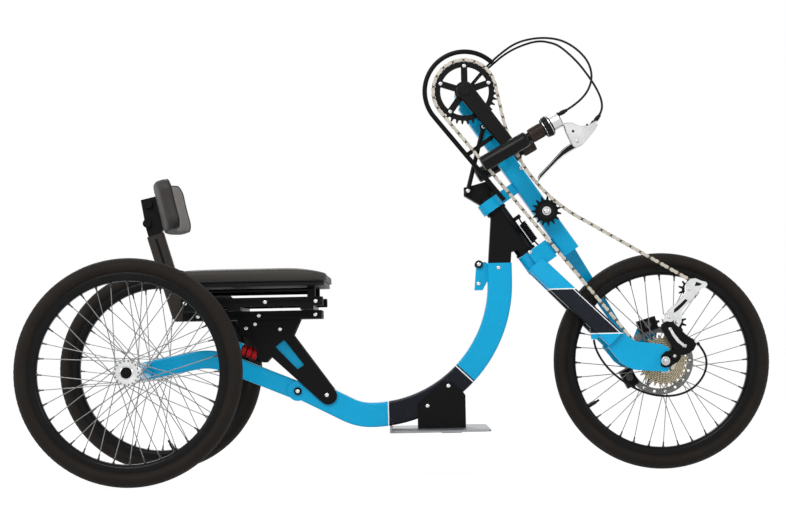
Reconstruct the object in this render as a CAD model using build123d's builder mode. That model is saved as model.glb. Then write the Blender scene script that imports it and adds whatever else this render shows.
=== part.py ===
"""Handcycle trike: a child and adult size three-wheeler that is driven by hand cranks above the front wheel.

Frame of the model, in millimetres: +X forward, +Y to the vehicle's left, +Z up.
The origin lies on the ground in the centre plane, halfway between the front and the rear axles.
"""
import os
from math import asin, atan2, cos, degrees, hypot, pi, radians, sin, sqrt, tan

from build123d import *

os.makedirs("parts", exist_ok=True)

# Wheels and stance
wheel_radius = 250.0
wheelbase = 1198.0
track = 640.0
tyre_width = 47.0
tyre_height = 37.0
rim_width = 27.0
rim_depth = 14.0
tyre_seat_gap = 0.2
spoke_count = 36
spoke_radius = 1.0
spoke_cross = 3
spoke_end_gap = 0.2
spoke_rim_offset = 4.0
running_clearance = 0.06

# Rear hubs, measured outboard from the wheel's middle plane
rear_axle_radius = 6.35
rear_flange_radius = 29.0
rear_flange_offset = 26.0
flange_thickness = 3.0
rear_shell_radius = 16.0
rear_hub_inner_end = 33.0
rear_hub_outer_end = 31.0
rear_cap_radius = 15.0
rear_cap_depth = 5.0
hub_end_gap = 2.0

# Front hub, cassette and brake rotor, as distances from the centre plane
dropout_inner = 66.0
dropout_thickness = 12.0
front_axle_radius = 6.0
front_flange_radius = 27.0
right_flange_y = -17.5
left_flange_y = 32.5
front_shell_radius = 15.0
freehub_radius = 17.0
front_hub_end = 62.0
axle_collar_radius = 10.0
rotor_y = 44.0
rotor_thickness = 2.0
rotor_radius = 80.0
rotor_ring_width = 15.0
rotor_seat_radius = 22.0
rotor_bore = 11.2
caliper_slot = 3.0
caliper_tab_thickness = 8.0
# Columns: lean in degrees, and the place forward of the front axle and above it
caliper_places = ((-63, (-71, -38)), (17, (-25, 84)))
cog_teeth = (12, 14, 16, 18, 20, 22, 25, 28)
cog_spacing = 4.8
cog_thickness = 1.8
cassette_core_radius = 20.0

# Chain line and sprockets
chain_y = -58.0
chain_pitch = 12.7
chain_height = 8.2
chain_slot = 2.6
chain_width = 6.0
chain_pin_radius = 2.0
chain_pin_every = 4
tooth_tip = 4.0
tooth_root = 4.4
chainring_teeth = 36
chainring_thickness = 2.0
chainring_width = 17.0
idler_teeth = 15
idler_centre = (337.0, 600.0)
idler_disc_radius = 25.0
idler_disc_thickness = 11.0
idler_bolt_radius = 5.0
idler_seat_gap = 0.3
pulley_teeth = 10
pulley_thickness = 2.0
guide_place = (29.5, 88.0)
tension_place = (60.5, 162.5)
chain_sag_radius = 360.0
chain_sag_gap = 6.59
guard_distance = 19.0
guard_radius = 5.5
guard_wrap = 175.0
guard_run = 252.0
guard_stay_places = (116.0, 171.5)
guard_stay_y = -47.0
guard_stay_thickness = 3.0
cage_inner = 5.0
cage_thickness = 1.6
mech_body_depth = 18.0
spider_arms = 5
spider_reach = 58.0

# Cranks and hand grips
crank_axis_x = 154.0
crank_axis_z = 880.5
crank_length = 175.0
crank_angle = -52.3
crank_inner = 70.0
crank_thickness = 16.0
crank_root_radius = 20.0
crank_end_radius = 15.0
spindle_radius = 12.0
bottom_bracket_radius = 22.0
bottom_bracket_half = 36.0
bottom_bracket_bore_gap = 0.06
grip_y = 175.0
grip_pin_radius = 8.0
grip_pin_end = 190.0
grip_slope = 29.0
grip_radius = 17.5
grip_back = 85.0
grip_front = 32.0
grip_bore_gap = 0.06
grip_cup_start = 40.0
grip_cup_end = 74.0
shifter_end = 95.0
shifter_radius = 24.0
lever_clamp_end = 117.0
bar_radius = 11.0
sleeve_gap = 1.0
grip_sleeve_radius = 14.0
lever_half = 8.0

# Steering head: the axis runs down and forward, and n is the distance in front of it
head_x = 212.0
head_z = 624.0
head_angle = 55.63
head_tube_start = 17.6
head_tube_end = 142.0
head_tube_radius = 22.5
steerer_radius = 14.0
steerer_gap = 0.06
crown_gap = 0.5
crown_radius = 24.0
clevis_pivot = (158.0, 652.0)
clevis_half = 16.0
strut_top = (197.0, 800.0)
strut_radius = 5.0
strut_eye_half = 6.0
clamp_start = -10.0
clamp_half_width = 31.0
crown_length = 46.0
crown_front = 50.0
crown_half_width = 42.0
boom_rear = 65.0
boom_depth = 41.0
boom_half_width = 22.0
boom_top = -222.0
boom_bottom = 200.0
boom_corner = 5.0
bridge_half_width = 12.0

# Fork legs and the left stay
leg_depth = 43.0
leg_thickness = 24.0
leg_top = (310.0, 479.8)
leg_top_y = 33.0
leg_foot = (-112.0, 52.8)
stay_top = (381.0, 526.0)
stay_foot = (-72.0, 52.0)
stay_top_depth = 34.0
stay_bottom_depth = 14.0
stay_thickness = 12.0
stay_end_y = 72.0
cable_stop_y = -70.0

# Main tube
tube_depth = 56.0
tube_width = 50.0
tube_corner = 5.0
tube_front_x = 228.0
tube_top_z = 484.0
tube_bend_z = 441.0
tube_bend_radius = 303.0
rear_bend_radius = 120.0
rear_rise = 27.0
pivot_x = -245.0
pivot_z = 197.0
pivot_radius = 23.0
pivot_head_radius = 9.0
head_plate_half = 20.0
spring_lug_at = 58.0
spring_front = 32.0
clip_top = 487.0
clip_bottom = 422.0
clip_reach = 26.0
clip_half_width = 14.0

# Swing arm
arm_depth = 42.0
arm_width = 36.0
arm_corner = 5.0
arm_knee = (-443.0, 279.0)
arm_bend_radius = 140.0
pivot_pin_radius = 6.0
arm_side_gap = 0.5
cross_tube_radius = 20.0
damper_radius = 13.0
damper_start = (-375.0, 296.0)
damper_end = (-337.0, 281.0)
damper_cup_length = 14.0

# Seat
plate_thickness = 6.0
plate_bolt = (-175.0, 185.0)
plate_end_radius = 20.5
spacer_radius = 8.0
spacer_places = ((-340.0, 349.0), (-262.0, 344.0))
seat_rail_front = -188.0
seat_rail_rear = -505.0
seat_bar_places = (-215.0, -380.0, -478.0)
seat_hanger_places = (-205.0, -470.0)
seat_width = 400.0
seat_front = -167.0
seat_rear = -512.0
cushion_top = 479.0
cushion_bottom = 444.6
board_thickness = 8.0
lower_rail_bottom = 363.0
rail_height = 20.0
upper_rail_bottom = 392.0
upper_rail_y = 135.0
lower_rail_y = 42.0
rail_width = 30.0
post_width = 40.0
post_thickness = 25.0
post_lean = 16.6
post_foot = (-514.0, 374.0)
post_length = 200.0
pad_centre = (-562.0, 622.0)
pad_width = 280.0
pad_height = 118.0
pad_thickness = 36.0
pad_curve = 420.0
pad_lean = 13.0
pad_seat_gap = 0.3
knob_places = ((-585.0, 637.0), (-588.0, 592.0))
knob_radius = 10.0
knob_half = 24.0

# Foot rest
foot_plate_thickness = 4.0
foot_plate_rear = -33.0
foot_plate_front = 195.0
foot_plate_half = 180.0
foot_lip_height = 9.0
foot_bracket_bottom = 105.0
bracket_thickness = 6.0
bracket_bolts = ((54.0, 157.0), (103.0, 202.0))
bracket_bolt_radius = 4.0
strap_slots = (30.0, 150.0)
strap_slot_y = 150.0

# Brake and gear cables
cable_radius = 2.5
loop_split = 5
loop_gap = 0.3

axle_x = wheelbase / 2
cross_tube_half = track / 2 - rear_hub_inner_end - hub_end_gap
head_plan = radians(head_angle)
down = Vector(cos(head_plan), 0, -sin(head_plan))
ahead = Vector(sin(head_plan), 0, cos(head_plan))
head_origin = Vector(head_x, 0, head_z)
crown_start = head_tube_end + crown_gap
crank_end_x = crank_axis_x + crank_length * cos(radians(crank_angle))
crank_end_z = crank_axis_z + crank_length * sin(radians(crank_angle))


def side_plane(y):
    """Plane at that Y seen from the vehicle's right: x is forward, y is up and the normal is -Y."""
    return Plane.XZ.offset(-y)


def head_plane(along, y=0):
    """Plane across the steering axis: x is ahead of the axis, y is to the right, and the normal runs down it."""
    return Plane(origin=head_origin + down * along + Vector(0, y, 0), x_dir=ahead, z_dir=down)


def head_point(along, front):
    """Side view point, as (x, z), from the distance along the steering axis and in front of it."""
    point = head_origin + down * along + ahead * front
    return (point.X, point.Z)


def axle_plane(x, y, z):
    """Plane through a wheel's axis: x runs along the axle to +Y and y runs up."""
    return Plane(origin=(x, y, z), x_dir=(0, 1, 0), z_dir=(1, 0, 0))


def by_axle(*places):
    """Side view points, as (x, z), from places given forward of the front axle and above it."""
    return [(axle_x + forward, wheel_radius + up) for forward, up in places]


def crossing(first, first_reach, second, second_reach):
    """Side view point at those distances from two centres, on the left of the way from the first to the second."""
    apart = hypot(second[0] - first[0], second[1] - first[1])
    along = (first_reach**2 - second_reach**2 + apart**2) / (2 * apart)
    beside = sqrt(first_reach**2 - along**2)
    way_x, way_z = (second[0] - first[0]) / apart, (second[1] - first[1]) / apart
    return (first[0] + way_x * along - way_z * beside, first[1] + way_z * along + way_x * beside)


def pitch_radius(teeth):
    return chain_pitch / 2 / sin(pi / teeth)


def star(teeth, centre=(0, 0), phase=0.0):
    """Closed outline of a sprocket, with a root and a tip for each tooth."""
    root = pitch_radius(teeth) - tooth_root
    tip = pitch_radius(teeth) + tooth_tip
    flat = 0.2
    points = []
    for tooth in range(teeth):
        for share, radius in ((-flat, root), (flat, root), (0.5 - flat / 2, tip), (0.5 + flat / 2, tip)):
            angle = phase + 2 * pi * (tooth + share) / teeth
            points.append((centre[0] + radius * cos(angle), centre[1] + radius * sin(angle)))
    return points


def save(builder, name):
    builder.part.label = name
    export_step(builder.part, f"parts/{name}.step")


# Wheels: tyre, rim and laced hub. The table gives the centre and the side that faces away from the vehicle.
wheels = {
    "rear_right": (-axle_x, -track / 2, -1),
    "rear_left": (-axle_x, track / 2, 1),
    "front": (axle_x, 0.0, 1),
}
rim_outer = wheel_radius - tyre_height
rim_inner = rim_outer - rim_depth


def lace(x, y, flange_y, rim_y, flange_radius, first_angle):
    """Middles and length of the spokes of one flange, laced three cross: half lean forward and half back."""
    per_side = spoke_count // 2
    step = 2 * pi / per_side
    hole_radius = flange_radius - 3
    end_radius = rim_inner - spoke_end_gap
    places = []
    for spoke in range(per_side):
        rim_angle = first_angle + step * spoke
        hub_angle = rim_angle + spoke_cross * step * (1 if spoke % 2 else -1)
        inner = Vector(x + hole_radius * cos(hub_angle), y + flange_y, wheel_radius + hole_radius * sin(hub_angle))
        outer = Vector(x + end_radius * cos(rim_angle), y + rim_y, wheel_radius + end_radius * sin(rim_angle))
        places.append(Plane(origin=(inner + outer) / 2, z_dir=outer - inner).location)
    return places, (outer - inner).length


for wheel_name, (wheel_x, wheel_y, outboard) in wheels.items():
    wheel_axis = Axis((wheel_x, wheel_y, wheel_radius), (0, 1, 0))
    profile_plane = axle_plane(wheel_x, wheel_y, wheel_radius)

    with BuildPart() as tyre:
        with BuildSketch(profile_plane):
            with BuildLine():
                bead = rim_outer + tyre_seat_gap
                half = tyre_width / 2
                Polyline(
                    (-rim_width / 2, bead),
                    (-half, wheel_radius - half),
                    (-half * 0.62, wheel_radius - 4.5),
                    (-half * 0.2, wheel_radius),
                    (half * 0.2, wheel_radius),
                    (half * 0.62, wheel_radius - 4.5),
                    (half, wheel_radius - half),
                    (rim_width / 2, bead),
                    close=True,
                )
            make_face()
        revolve(axis=wheel_axis)
    save(tyre, f"{wheel_name}_tyre")

    with BuildPart() as rim:
        with BuildSketch(profile_plane):
            with BuildLine():
                half = rim_width / 2
                Polyline(
                    (-half, rim_outer),
                    (half, rim_outer),
                    (half, rim_outer - rim_depth * 0.5),
                    (half * 0.6, rim_inner),
                    (-half * 0.6, rim_inner),
                    (-half, rim_outer - rim_depth * 0.5),
                    close=True,
                )
            make_face()
        revolve(axis=wheel_axis)
    save(rim, f"{wheel_name}_rim")

for wheel_name, (wheel_x, wheel_y, outboard) in list(wheels.items())[:2]:
    wheel_axis = Axis((wheel_x, wheel_y, wheel_radius), (0, 1, 0))
    bore = rear_axle_radius + running_clearance
    boss = rear_shell_radius - 2
    inner_face = rear_flange_offset + flange_thickness
    cap_end = rear_hub_outer_end + rear_cap_depth
    profile = [
        (-rear_hub_inner_end, bore),
        (-rear_hub_inner_end, boss),
        (-inner_face, boss),
        (-inner_face, rear_flange_radius),
        (-rear_flange_offset, rear_flange_radius),
        (-rear_flange_offset + 4, rear_shell_radius),
        (rear_flange_offset - 4, rear_shell_radius),
        (rear_flange_offset, rear_flange_radius),
        (inner_face, rear_flange_radius),
        (inner_face, rear_cap_radius + 4),
        (rear_hub_outer_end, rear_cap_radius + 4),
        (rear_hub_outer_end, rear_cap_radius),
        (cap_end - 1.5, rear_cap_radius - 3),
        (cap_end, rear_cap_radius - 9),
        (cap_end, 0),
        (rear_hub_outer_end, 0),
        (rear_hub_outer_end, bore),
    ]
    flange_middle = rear_flange_offset + flange_thickness / 2
    with BuildPart() as hub:
        with BuildSketch(axle_plane(wheel_x, wheel_y, wheel_radius)):
            with BuildLine():
                Polyline(*[(outboard * a, r) for a, r in profile], close=True)
            make_face()
        revolve(axis=wheel_axis)
        for side, first_angle in ((-1, 0), (1, 2 * pi / spoke_count)):
            places, length = lace(
                wheel_x, wheel_y, side * flange_middle, side * spoke_rim_offset, rear_flange_radius, first_angle
            )
            with Locations(*places):
                Box(2 * spoke_radius, 2 * spoke_radius, length)
    save(hub, f"{wheel_name}_hub")

front_axis = Axis((axle_x, 0, wheel_radius), (0, 1, 0))
cassette_inner_y = chain_y + cog_spacing * (len(cog_teeth) - 1)
with BuildPart() as front_hub:
    bore = front_axle_radius + running_clearance
    with BuildSketch(axle_plane(axle_x, 0, wheel_radius)):
        with BuildLine():
            half_flange = flange_thickness / 2
            Polyline(
                (-front_hub_end, bore),
                (-front_hub_end, freehub_radius - 4),
                (chain_y - 2, freehub_radius - 4),
                (chain_y - 2, freehub_radius),
                (right_flange_y - half_flange, freehub_radius),
                (right_flange_y - half_flange, front_flange_radius),
                (right_flange_y + half_flange, front_flange_radius),
                (right_flange_y + half_flange + 4, front_shell_radius),
                (left_flange_y - half_flange - 4, front_shell_radius),
                (left_flange_y - half_flange, front_flange_radius),
                (left_flange_y + half_flange, front_flange_radius),
                (left_flange_y + half_flange, rotor_seat_radius),
                (rotor_y, rotor_seat_radius),
                (rotor_y, rotor_bore - 0.2),
                (front_hub_end, rotor_bore - 0.2),
                (front_hub_end, bore),
                close=True,
            )
        make_face()
    revolve(axis=front_axis)
    for side, flange_y, first_angle in ((-1, right_flange_y, 0), (1, left_flange_y, 2 * pi / spoke_count)):
        places, length = lace(axle_x, 0, flange_y, side * spoke_rim_offset, front_flange_radius, first_angle)
        with Locations(*places):
            Box(2 * spoke_radius, 2 * spoke_radius, length)
save(front_hub, "front_hub")

with BuildPart() as cassette:
    for index, teeth in enumerate(cog_teeth):
        cog_y = chain_y + cog_spacing * index
        with BuildSketch(side_plane(cog_y)):
            with BuildLine():
                Polyline(*star(teeth, (axle_x, wheel_radius)), close=True)
            make_face()
        extrude(amount=cog_thickness / 2, both=True)
    with BuildSketch(side_plane(chain_y - 2)):
        with Locations((axle_x, wheel_radius)):
            Circle(cassette_core_radius)
    extrude(amount=-(cassette_inner_y - chain_y + 3))
    with BuildSketch(side_plane(chain_y - 5)):
        with Locations((axle_x, wheel_radius)):
            Circle(freehub_radius + 0.1)
    extrude(amount=-60, mode=Mode.SUBTRACT)
save(cassette, "cassette")

with BuildPart() as rotor:
    with BuildSketch(side_plane(rotor_y)):
        with Locations((axle_x, wheel_radius)):
            Circle(rotor_radius)
            Circle(rotor_radius - rotor_ring_width, mode=Mode.SUBTRACT)
            Circle(rotor_seat_radius + 3)
        with Locations((axle_x, wheel_radius)):
            with PolarLocations(rotor_radius / 2 + 6, 6):
                Rectangle(rotor_radius - 12, 7, rotation=14)
            Circle(rotor_bore, mode=Mode.SUBTRACT)
            with PolarLocations(rotor_radius - rotor_ring_width / 2, 18):
                Circle(3.2, mode=Mode.SUBTRACT)
    extrude(amount=-rotor_thickness)
save(rotor, "brake_rotor")

# Main tube: one bent box section from the steering head down past the rider's legs and back to the pivot
with BuildPart() as main_tube:
    bend_x = tube_front_x - tube_bend_radius
    low_z = tube_bend_z - tube_bend_radius
    with BuildLine(Plane.XZ) as tube_path:
        Line((tube_front_x, tube_top_z), (tube_front_x, tube_bend_z))
        CenterArc((bend_x, tube_bend_z), tube_bend_radius, 0, -90)
        rear_bend = CenterArc((bend_x, low_z + rear_bend_radius), rear_bend_radius, -90, -rear_rise)
        rise = rear_bend @ 1
        back = rise.X - pivot_x - pivot_radius + 4
        Line((rise.X, rise.Z), (rise.X - back, rise.Z + back * tan(radians(rear_rise))))
    with BuildSketch(Plane(origin=(tube_front_x, 0, tube_top_z), x_dir=(0, 1, 0), z_dir=(0, 0, -1))):
        RectangleRounded(tube_width, tube_depth, tube_corner)
    sweep(path=tube_path.wires()[0])
    with BuildSketch(side_plane(-tube_width / 2)):
        with Locations((pivot_x, pivot_z)):
            Circle(pivot_radius)
        with BuildLine():
            Polyline(
                (pivot_x, pivot_z + pivot_radius - 2),
                (pivot_x + 30, pivot_z + 24),
                (pivot_x + 30, pivot_z - 26),
                (pivot_x, pivot_z - pivot_radius + 2),
                close=True,
            )
        make_face()
    extrude(amount=-tube_width)
    with BuildSketch(side_plane(-arm_width / 2 - arm_side_gap)):
        with Locations((pivot_x, pivot_z)):
            Circle(pivot_radius + 4)
        with Locations((pivot_x - 30, pivot_z)):
            Rectangle(60, 2 * pivot_radius + 8)
    extrude(amount=-(arm_width + 2 * arm_side_gap), mode=Mode.SUBTRACT)
    with BuildSketch(side_plane(-tube_width)):
        with Locations((pivot_x, pivot_z)):
            Circle(pivot_pin_radius)
    extrude(amount=-2 * tube_width, mode=Mode.SUBTRACT)
save(main_tube, "main_tube")

# Steering head: upright spigot plates on the main tube and the slanted head tube
with BuildPart() as head_post:
    half_depth = tube_depth / 2 - 2
    with BuildSketch(side_plane(-head_plate_half)):
        with BuildLine():
            Polyline(
                (tube_front_x - half_depth, tube_top_z),
                (tube_front_x + half_depth, tube_top_z),
                (tube_front_x + half_depth + 2, tube_top_z + 25),
                head_point(head_tube_end - 12, 0),
                head_point(head_tube_start + 12, 0),
                (tube_front_x - half_depth + 8, tube_top_z + 104),
                close=True,
            )
        make_face()
    extrude(amount=-2 * head_plate_half)
    with BuildSketch(head_plane(head_tube_start)):
        Circle(head_tube_radius)
    extrude(amount=head_tube_end - head_tube_start)
    with BuildSketch(head_plane(spring_lug_at)):
        with Locations((head_tube_radius + 5, 0)):
            Rectangle(22, 8)
    extrude(amount=9)
    with BuildSketch(head_plane(head_tube_start - 5)):
        Circle(steerer_radius + steerer_gap)
    extrude(amount=head_tube_end - head_tube_start + 10, mode=Mode.SUBTRACT)
save(head_post, "head_post")

# Small accessory clip behind the top of the main tube, with its clamping knob
with BuildPart() as clip:
    clip_front = tube_front_x - tube_depth / 2
    with BuildSketch(side_plane(-clip_half_width)):
        with BuildLine():
            Polyline(
                (clip_front, clip_top - 4),
                (clip_front - 4, clip_top),
                (clip_front - clip_reach + 4, clip_top),
                (clip_front - clip_reach, clip_top - 8),
                (clip_front - clip_reach - 5, clip_bottom),
                (clip_front - 12, clip_bottom),
                (clip_front, clip_bottom + 22),
                close=True,
            )
        make_face()
    extrude(amount=-2 * clip_half_width)
    with BuildSketch(side_plane(-clip_half_width - 6)):
        with Locations((clip_front - clip_reach + 6, clip_top - 5)):
            Circle(7)
    extrude(amount=-2 * clip_half_width - 12)
save(clip, "accessory_clip")

# Swing arm: box section from the pivot up over a knee and back to the cross tube that holds the rear axles
with BuildPart() as swing_arm:
    with BuildLine(Plane.XZ) as arm_path:
        FilletPolyline((pivot_x, pivot_z), arm_knee, (-axle_x, wheel_radius), radius=arm_bend_radius)
    start = arm_path.wires()[0] @ 0
    heading = arm_path.wires()[0] % 0
    with BuildSketch(Plane(origin=start, x_dir=(0, 1, 0), z_dir=heading)):
        RectangleRounded(arm_width, arm_depth, arm_corner)
    sweep(path=arm_path.wires()[0])
    with BuildSketch(side_plane(-arm_width / 2)):
        with Locations((pivot_x, pivot_z)):
            Circle(pivot_radius)
        with BuildLine():
            Polyline(
                (damper_start[0] - 26, damper_start[1] - 30),
                (damper_start[0] - 8, damper_start[1] + 18),
                (damper_start[0] + 5.1, damper_start[1] + 13.0),
                (damper_start[0] - 5.1, damper_start[1] - 13.0),
                (damper_start[0] + 2, damper_start[1] - 44),
                close=True,
            )
        make_face()
    extrude(amount=-arm_width)
    with BuildSketch(side_plane(-cross_tube_half)):
        with Locations((-axle_x, wheel_radius)):
            Circle(cross_tube_radius)
    extrude(amount=-2 * cross_tube_half)
    with BuildSketch(side_plane(-tube_width)):
        with Locations((pivot_x, pivot_z)):
            Circle(pivot_pin_radius)
    extrude(amount=-2 * tube_width, mode=Mode.SUBTRACT)
save(swing_arm, "swing_arm")

with BuildPart() as pivot_bolt:
    with BuildSketch(side_plane(-tube_width / 2 - 5)):
        with Locations((pivot_x, pivot_z)):
            Circle(pivot_head_radius)
    extrude(amount=-5)
    with BuildSketch(side_plane(tube_width / 2)):
        with Locations((pivot_x, pivot_z)):
            Circle(pivot_head_radius)
    extrude(amount=-5)
    with BuildSketch(side_plane(-tube_width / 2)):
        with Locations((pivot_x, pivot_z)):
            Circle(pivot_pin_radius - 0.1)
    extrude(amount=-tube_width)
save(pivot_bolt, "pivot_bolt")

with BuildPart() as rear_axle:
    for side in (-1, 1):
        axle_length = track / 2 + rear_hub_outer_end - hub_end_gap - cross_tube_half
        with BuildSketch(side_plane(side * cross_tube_half)):
            with Locations((-axle_x, wheel_radius)):
                Circle(rear_axle_radius)
        extrude(amount=-side * axle_length)
save(rear_axle, "rear_axle")

# Rubber spring between the swing arm and the seat plates
damper_line = Vector(damper_end[0] - damper_start[0], 0, damper_end[1] - damper_start[1])
damper_origin = Vector(damper_start[0], 0, damper_start[1])
with BuildPart() as damper:
    with BuildSketch(Plane(origin=damper_origin + damper_line.normalized() * 0.3, z_dir=damper_line)):
        Circle(damper_radius)
    extrude(amount=damper_line.length - 0.6)
save(damper, "rubber_spring")

# Seat plates: a pair that clasps the main tube, with a slanted window and three spacers between them
with BuildPart() as seat_plates:
    plate_outline = (
        (-382, lower_rail_bottom),
        (-235, lower_rail_bottom),
        (-252, 326),
        (plate_bolt[0] + 17, plate_bolt[1] + 11),
        (plate_bolt[0] - 12, plate_bolt[1] - 17),
        (-304, 277),
        (-316, 264),
        (-333, 266),
        (-338, 284),
        (-340, 305),
        (-376, 331),
    )
    window_outline = ((-274, 316), (-229, 257), (-244, 247), (-295, 300))
    for side in (-1, 1):
        inner_y = side * tube_width / 2
        with BuildSketch(side_plane(inner_y)):
            with BuildLine():
                Polyline(*plate_outline, close=True)
            make_face()
            with Locations(plate_bolt):
                Circle(plate_end_radius)
            with BuildLine():
                Polyline(*window_outline, close=True)
            make_face(mode=Mode.SUBTRACT)
        extrude(amount=-side * plate_thickness)
    with BuildSketch(side_plane(-tube_width / 2)):
        with Locations(*spacer_places):
            Circle(spacer_radius)
    extrude(amount=-tube_width)
    cup_plane = Plane(origin=damper_origin + damper_line, z_dir=damper_line)
    with BuildSketch(cup_plane):
        Circle(damper_radius + 1)
    extrude(amount=damper_cup_length)
    with BuildSketch(side_plane(-tube_width / 2)):
        with Locations((damper_end[0] + 14, damper_end[1] - 4)):
            Circle(7)
    extrude(amount=-tube_width)
save(seat_plates, "seat_plates")

# Seat slides: lower rails on the plates, cross bars, upper rails and the hangers under the seat board
with BuildPart() as seat_rails:
    rail_middle_x = (seat_rail_front + seat_rail_rear) / 2
    rail_length = seat_rail_front - seat_rail_rear
    rail_middle_z = lower_rail_bottom + rail_height / 2
    for side in (-1, 1):
        with BuildSketch(Plane.YZ.offset(seat_rail_rear)):
            with Locations((side * lower_rail_y, rail_middle_z)):
                Rectangle(rail_width, rail_height)
                with Locations((side * rail_width / 2, 0)):
                    Rectangle(8, 6, mode=Mode.SUBTRACT)
        extrude(amount=rail_length)
        with BuildSketch(Plane.YZ.offset(seat_rail_rear + 6)):
            with Locations((side * upper_rail_y, upper_rail_bottom + rail_height / 2)):
                Rectangle(rail_width, rail_height)
                with Locations((side * rail_width / 2, 0)):
                    Rectangle(8, 6, mode=Mode.SUBTRACT)
        extrude(amount=rail_length)
    bar_bottom = lower_rail_bottom + rail_height
    for bar_x in seat_bar_places:
        with BuildSketch(Plane.XY.offset(bar_bottom)):
            with Locations((bar_x, 0)):
                Rectangle(30, 2 * upper_rail_y + rail_width)
        extrude(amount=upper_rail_bottom - bar_bottom)
    hanger_bottom = upper_rail_bottom + rail_height
    hanger_height = cushion_bottom - board_thickness - hanger_bottom
    with BuildSketch(Plane.XY.offset(hanger_bottom)):
        with Locations(*[(x, side * upper_rail_y) for x in seat_hanger_places for side in (-1, 1)]):
            Rectangle(18, 14)
    extrude(amount=hanger_height)
    for side in (-1, 1):
        with BuildSketch(Plane.YZ.offset(seat_rail_rear - 20)):
            with Locations((side * (upper_rail_y + 14), hanger_bottom + 16)):
                Circle(4)
        extrude(amount=rail_length + 5)
    with BuildSketch(Plane.XY.offset(hanger_bottom + 12)):
        with Locations(*[(x, side * (upper_rail_y + 9)) for x in seat_hanger_places for side in (-1, 1)]):
            Rectangle(10, 14)
    extrude(amount=8)
save(seat_rails, "seat_rails")

with BuildPart() as seat_board:
    with BuildSketch(Plane.XY.offset(cushion_bottom - board_thickness)):
        with Locations(((seat_front + seat_rear) / 2, 0)):
            RectangleRounded(seat_front - seat_rear - 12, seat_width - 16, 24)
    extrude(amount=board_thickness - 0.3)
save(seat_board, "seat_board")

with BuildPart() as cushion:
    with BuildSketch(side_plane(-seat_width / 2)):
        with BuildLine():
            nose = seat_front - 60
            Polyline(
                (seat_rear, cushion_bottom),
                (seat_front - 4, cushion_bottom),
                (seat_front, cushion_bottom + 12),
                (seat_front - 12, cushion_top - 12),
                (nose - 20, cushion_top),
                (seat_rear + 8, cushion_top - 5),
                (seat_rear, cushion_top - 12),
                close=True,
            )
        make_face()
    extrude(amount=-seat_width)
    fillet(cushion.edges().filter_by(Axis.Z), radius=6)
save(cushion, "seat_cushion")

# Back rest: a leaning post from the rails, the adjuster behind the pad and the curved pad
lean = Vector(-sin(radians(post_lean)), 0, cos(radians(post_lean)))
post_origin = Vector(post_foot[0], 0, post_foot[1])
post_plane = Plane(origin=post_origin, x_dir=(0, 1, 0), z_dir=lean)
with BuildPart() as back_post:
    with BuildSketch(post_plane):
        RectangleRounded(post_thickness, post_width, 4)
    extrude(amount=post_length)
    with BuildSketch(Plane.XY.offset(lower_rail_bottom)):
        with Locations((post_foot[0] + 4, 0)):
            Rectangle(36, 2 * lower_rail_y - rail_width)
    extrude(amount=rail_height)
save(back_post, "back_post")

pad_up = Vector(-sin(radians(pad_lean)), 0, cos(radians(pad_lean)))
pad_ahead = Vector(cos(radians(pad_lean)), 0, sin(radians(pad_lean)))
pad_middle = Vector(pad_centre[0], 0, pad_centre[1])
pad_plane = Plane(origin=pad_middle - pad_up * (pad_height / 2), x_dir=(0, 1, 0), z_dir=pad_up)
with BuildPart() as back_pad:
    half = pad_width / 2
    bow = pad_curve - (pad_curve**2 - half**2) ** 0.5
    with BuildSketch(pad_plane):
        with BuildLine():
            rear_bow = ThreePointArc((-half, -bow), (0, 0), (half, -bow))
            Line((half, -bow), (half, -bow - pad_thickness))
            ThreePointArc((half, -bow - pad_thickness), (0, -pad_thickness), (-half, -bow - pad_thickness))
            Line((-half, -bow - pad_thickness), (-half, -bow))
        make_face()
    extrude(amount=pad_height)
    fillet(back_pad.edges().filter_by(lambda edge: abs(edge.length - pad_height) < 0.01), radius=12)
save(back_pad, "back_pad")

post_end = post_origin + lean * post_length
post_ahead = Vector(cos(radians(post_lean)), 0, sin(radians(post_lean)))
adjuster_face = pad_middle - pad_ahead * pad_seat_gap
with BuildPart() as adjuster:
    adjuster_outline = (
        post_end + post_ahead * 16,
        adjuster_face - pad_up * 44,
        adjuster_face + pad_up * 34,
        adjuster_face + pad_up * 34 - pad_ahead * 34,
        adjuster_face - pad_up * 30 - pad_ahead * 38,
        post_end - post_ahead * 16,
    )
    with BuildSketch(side_plane(-post_thickness / 2)):
        with BuildLine():
            Polyline(*[(corner.X, corner.Z) for corner in adjuster_outline], close=True)
        make_face()
    extrude(amount=-post_thickness)
    with BuildSketch(side_plane(-knob_half)):
        with Locations(*knob_places):
            Circle(knob_radius)
    extrude(amount=-2 * knob_half)
save(adjuster, "back_adjuster")

# Foot rest: a bracket of two cheeks and a floor round the main tube, and the tray for both feet
with BuildPart() as foot_bracket:
    bracket_outline = (
        (31, foot_bracket_bottom),
        (31, 162),
        (45, 174),
        (88, 211),
        (112, 211),
        (134, 192),
        (142, 180),
        (142, foot_bracket_bottom),
    )
    for side in (-1, 1):
        with BuildSketch(side_plane(side * tube_width / 2)):
            with BuildLine():
                Polyline(*bracket_outline, close=True)
            make_face()
        extrude(amount=-side * bracket_thickness)
    with BuildSketch(Plane.XY.offset(foot_bracket_bottom)):
        with Locations(((bracket_outline[0][0] + bracket_outline[-1][0]) / 2, 0)):
            Rectangle(bracket_outline[-1][0] - bracket_outline[0][0], tube_width + 2 * bracket_thickness)
    extrude(amount=bracket_thickness)
    with BuildSketch(side_plane(-tube_width)):
        with Locations(*bracket_bolts):
            Circle(bracket_bolt_radius)
    extrude(amount=-2 * tube_width, mode=Mode.SUBTRACT)
save(foot_bracket, "foot_bracket")

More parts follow.
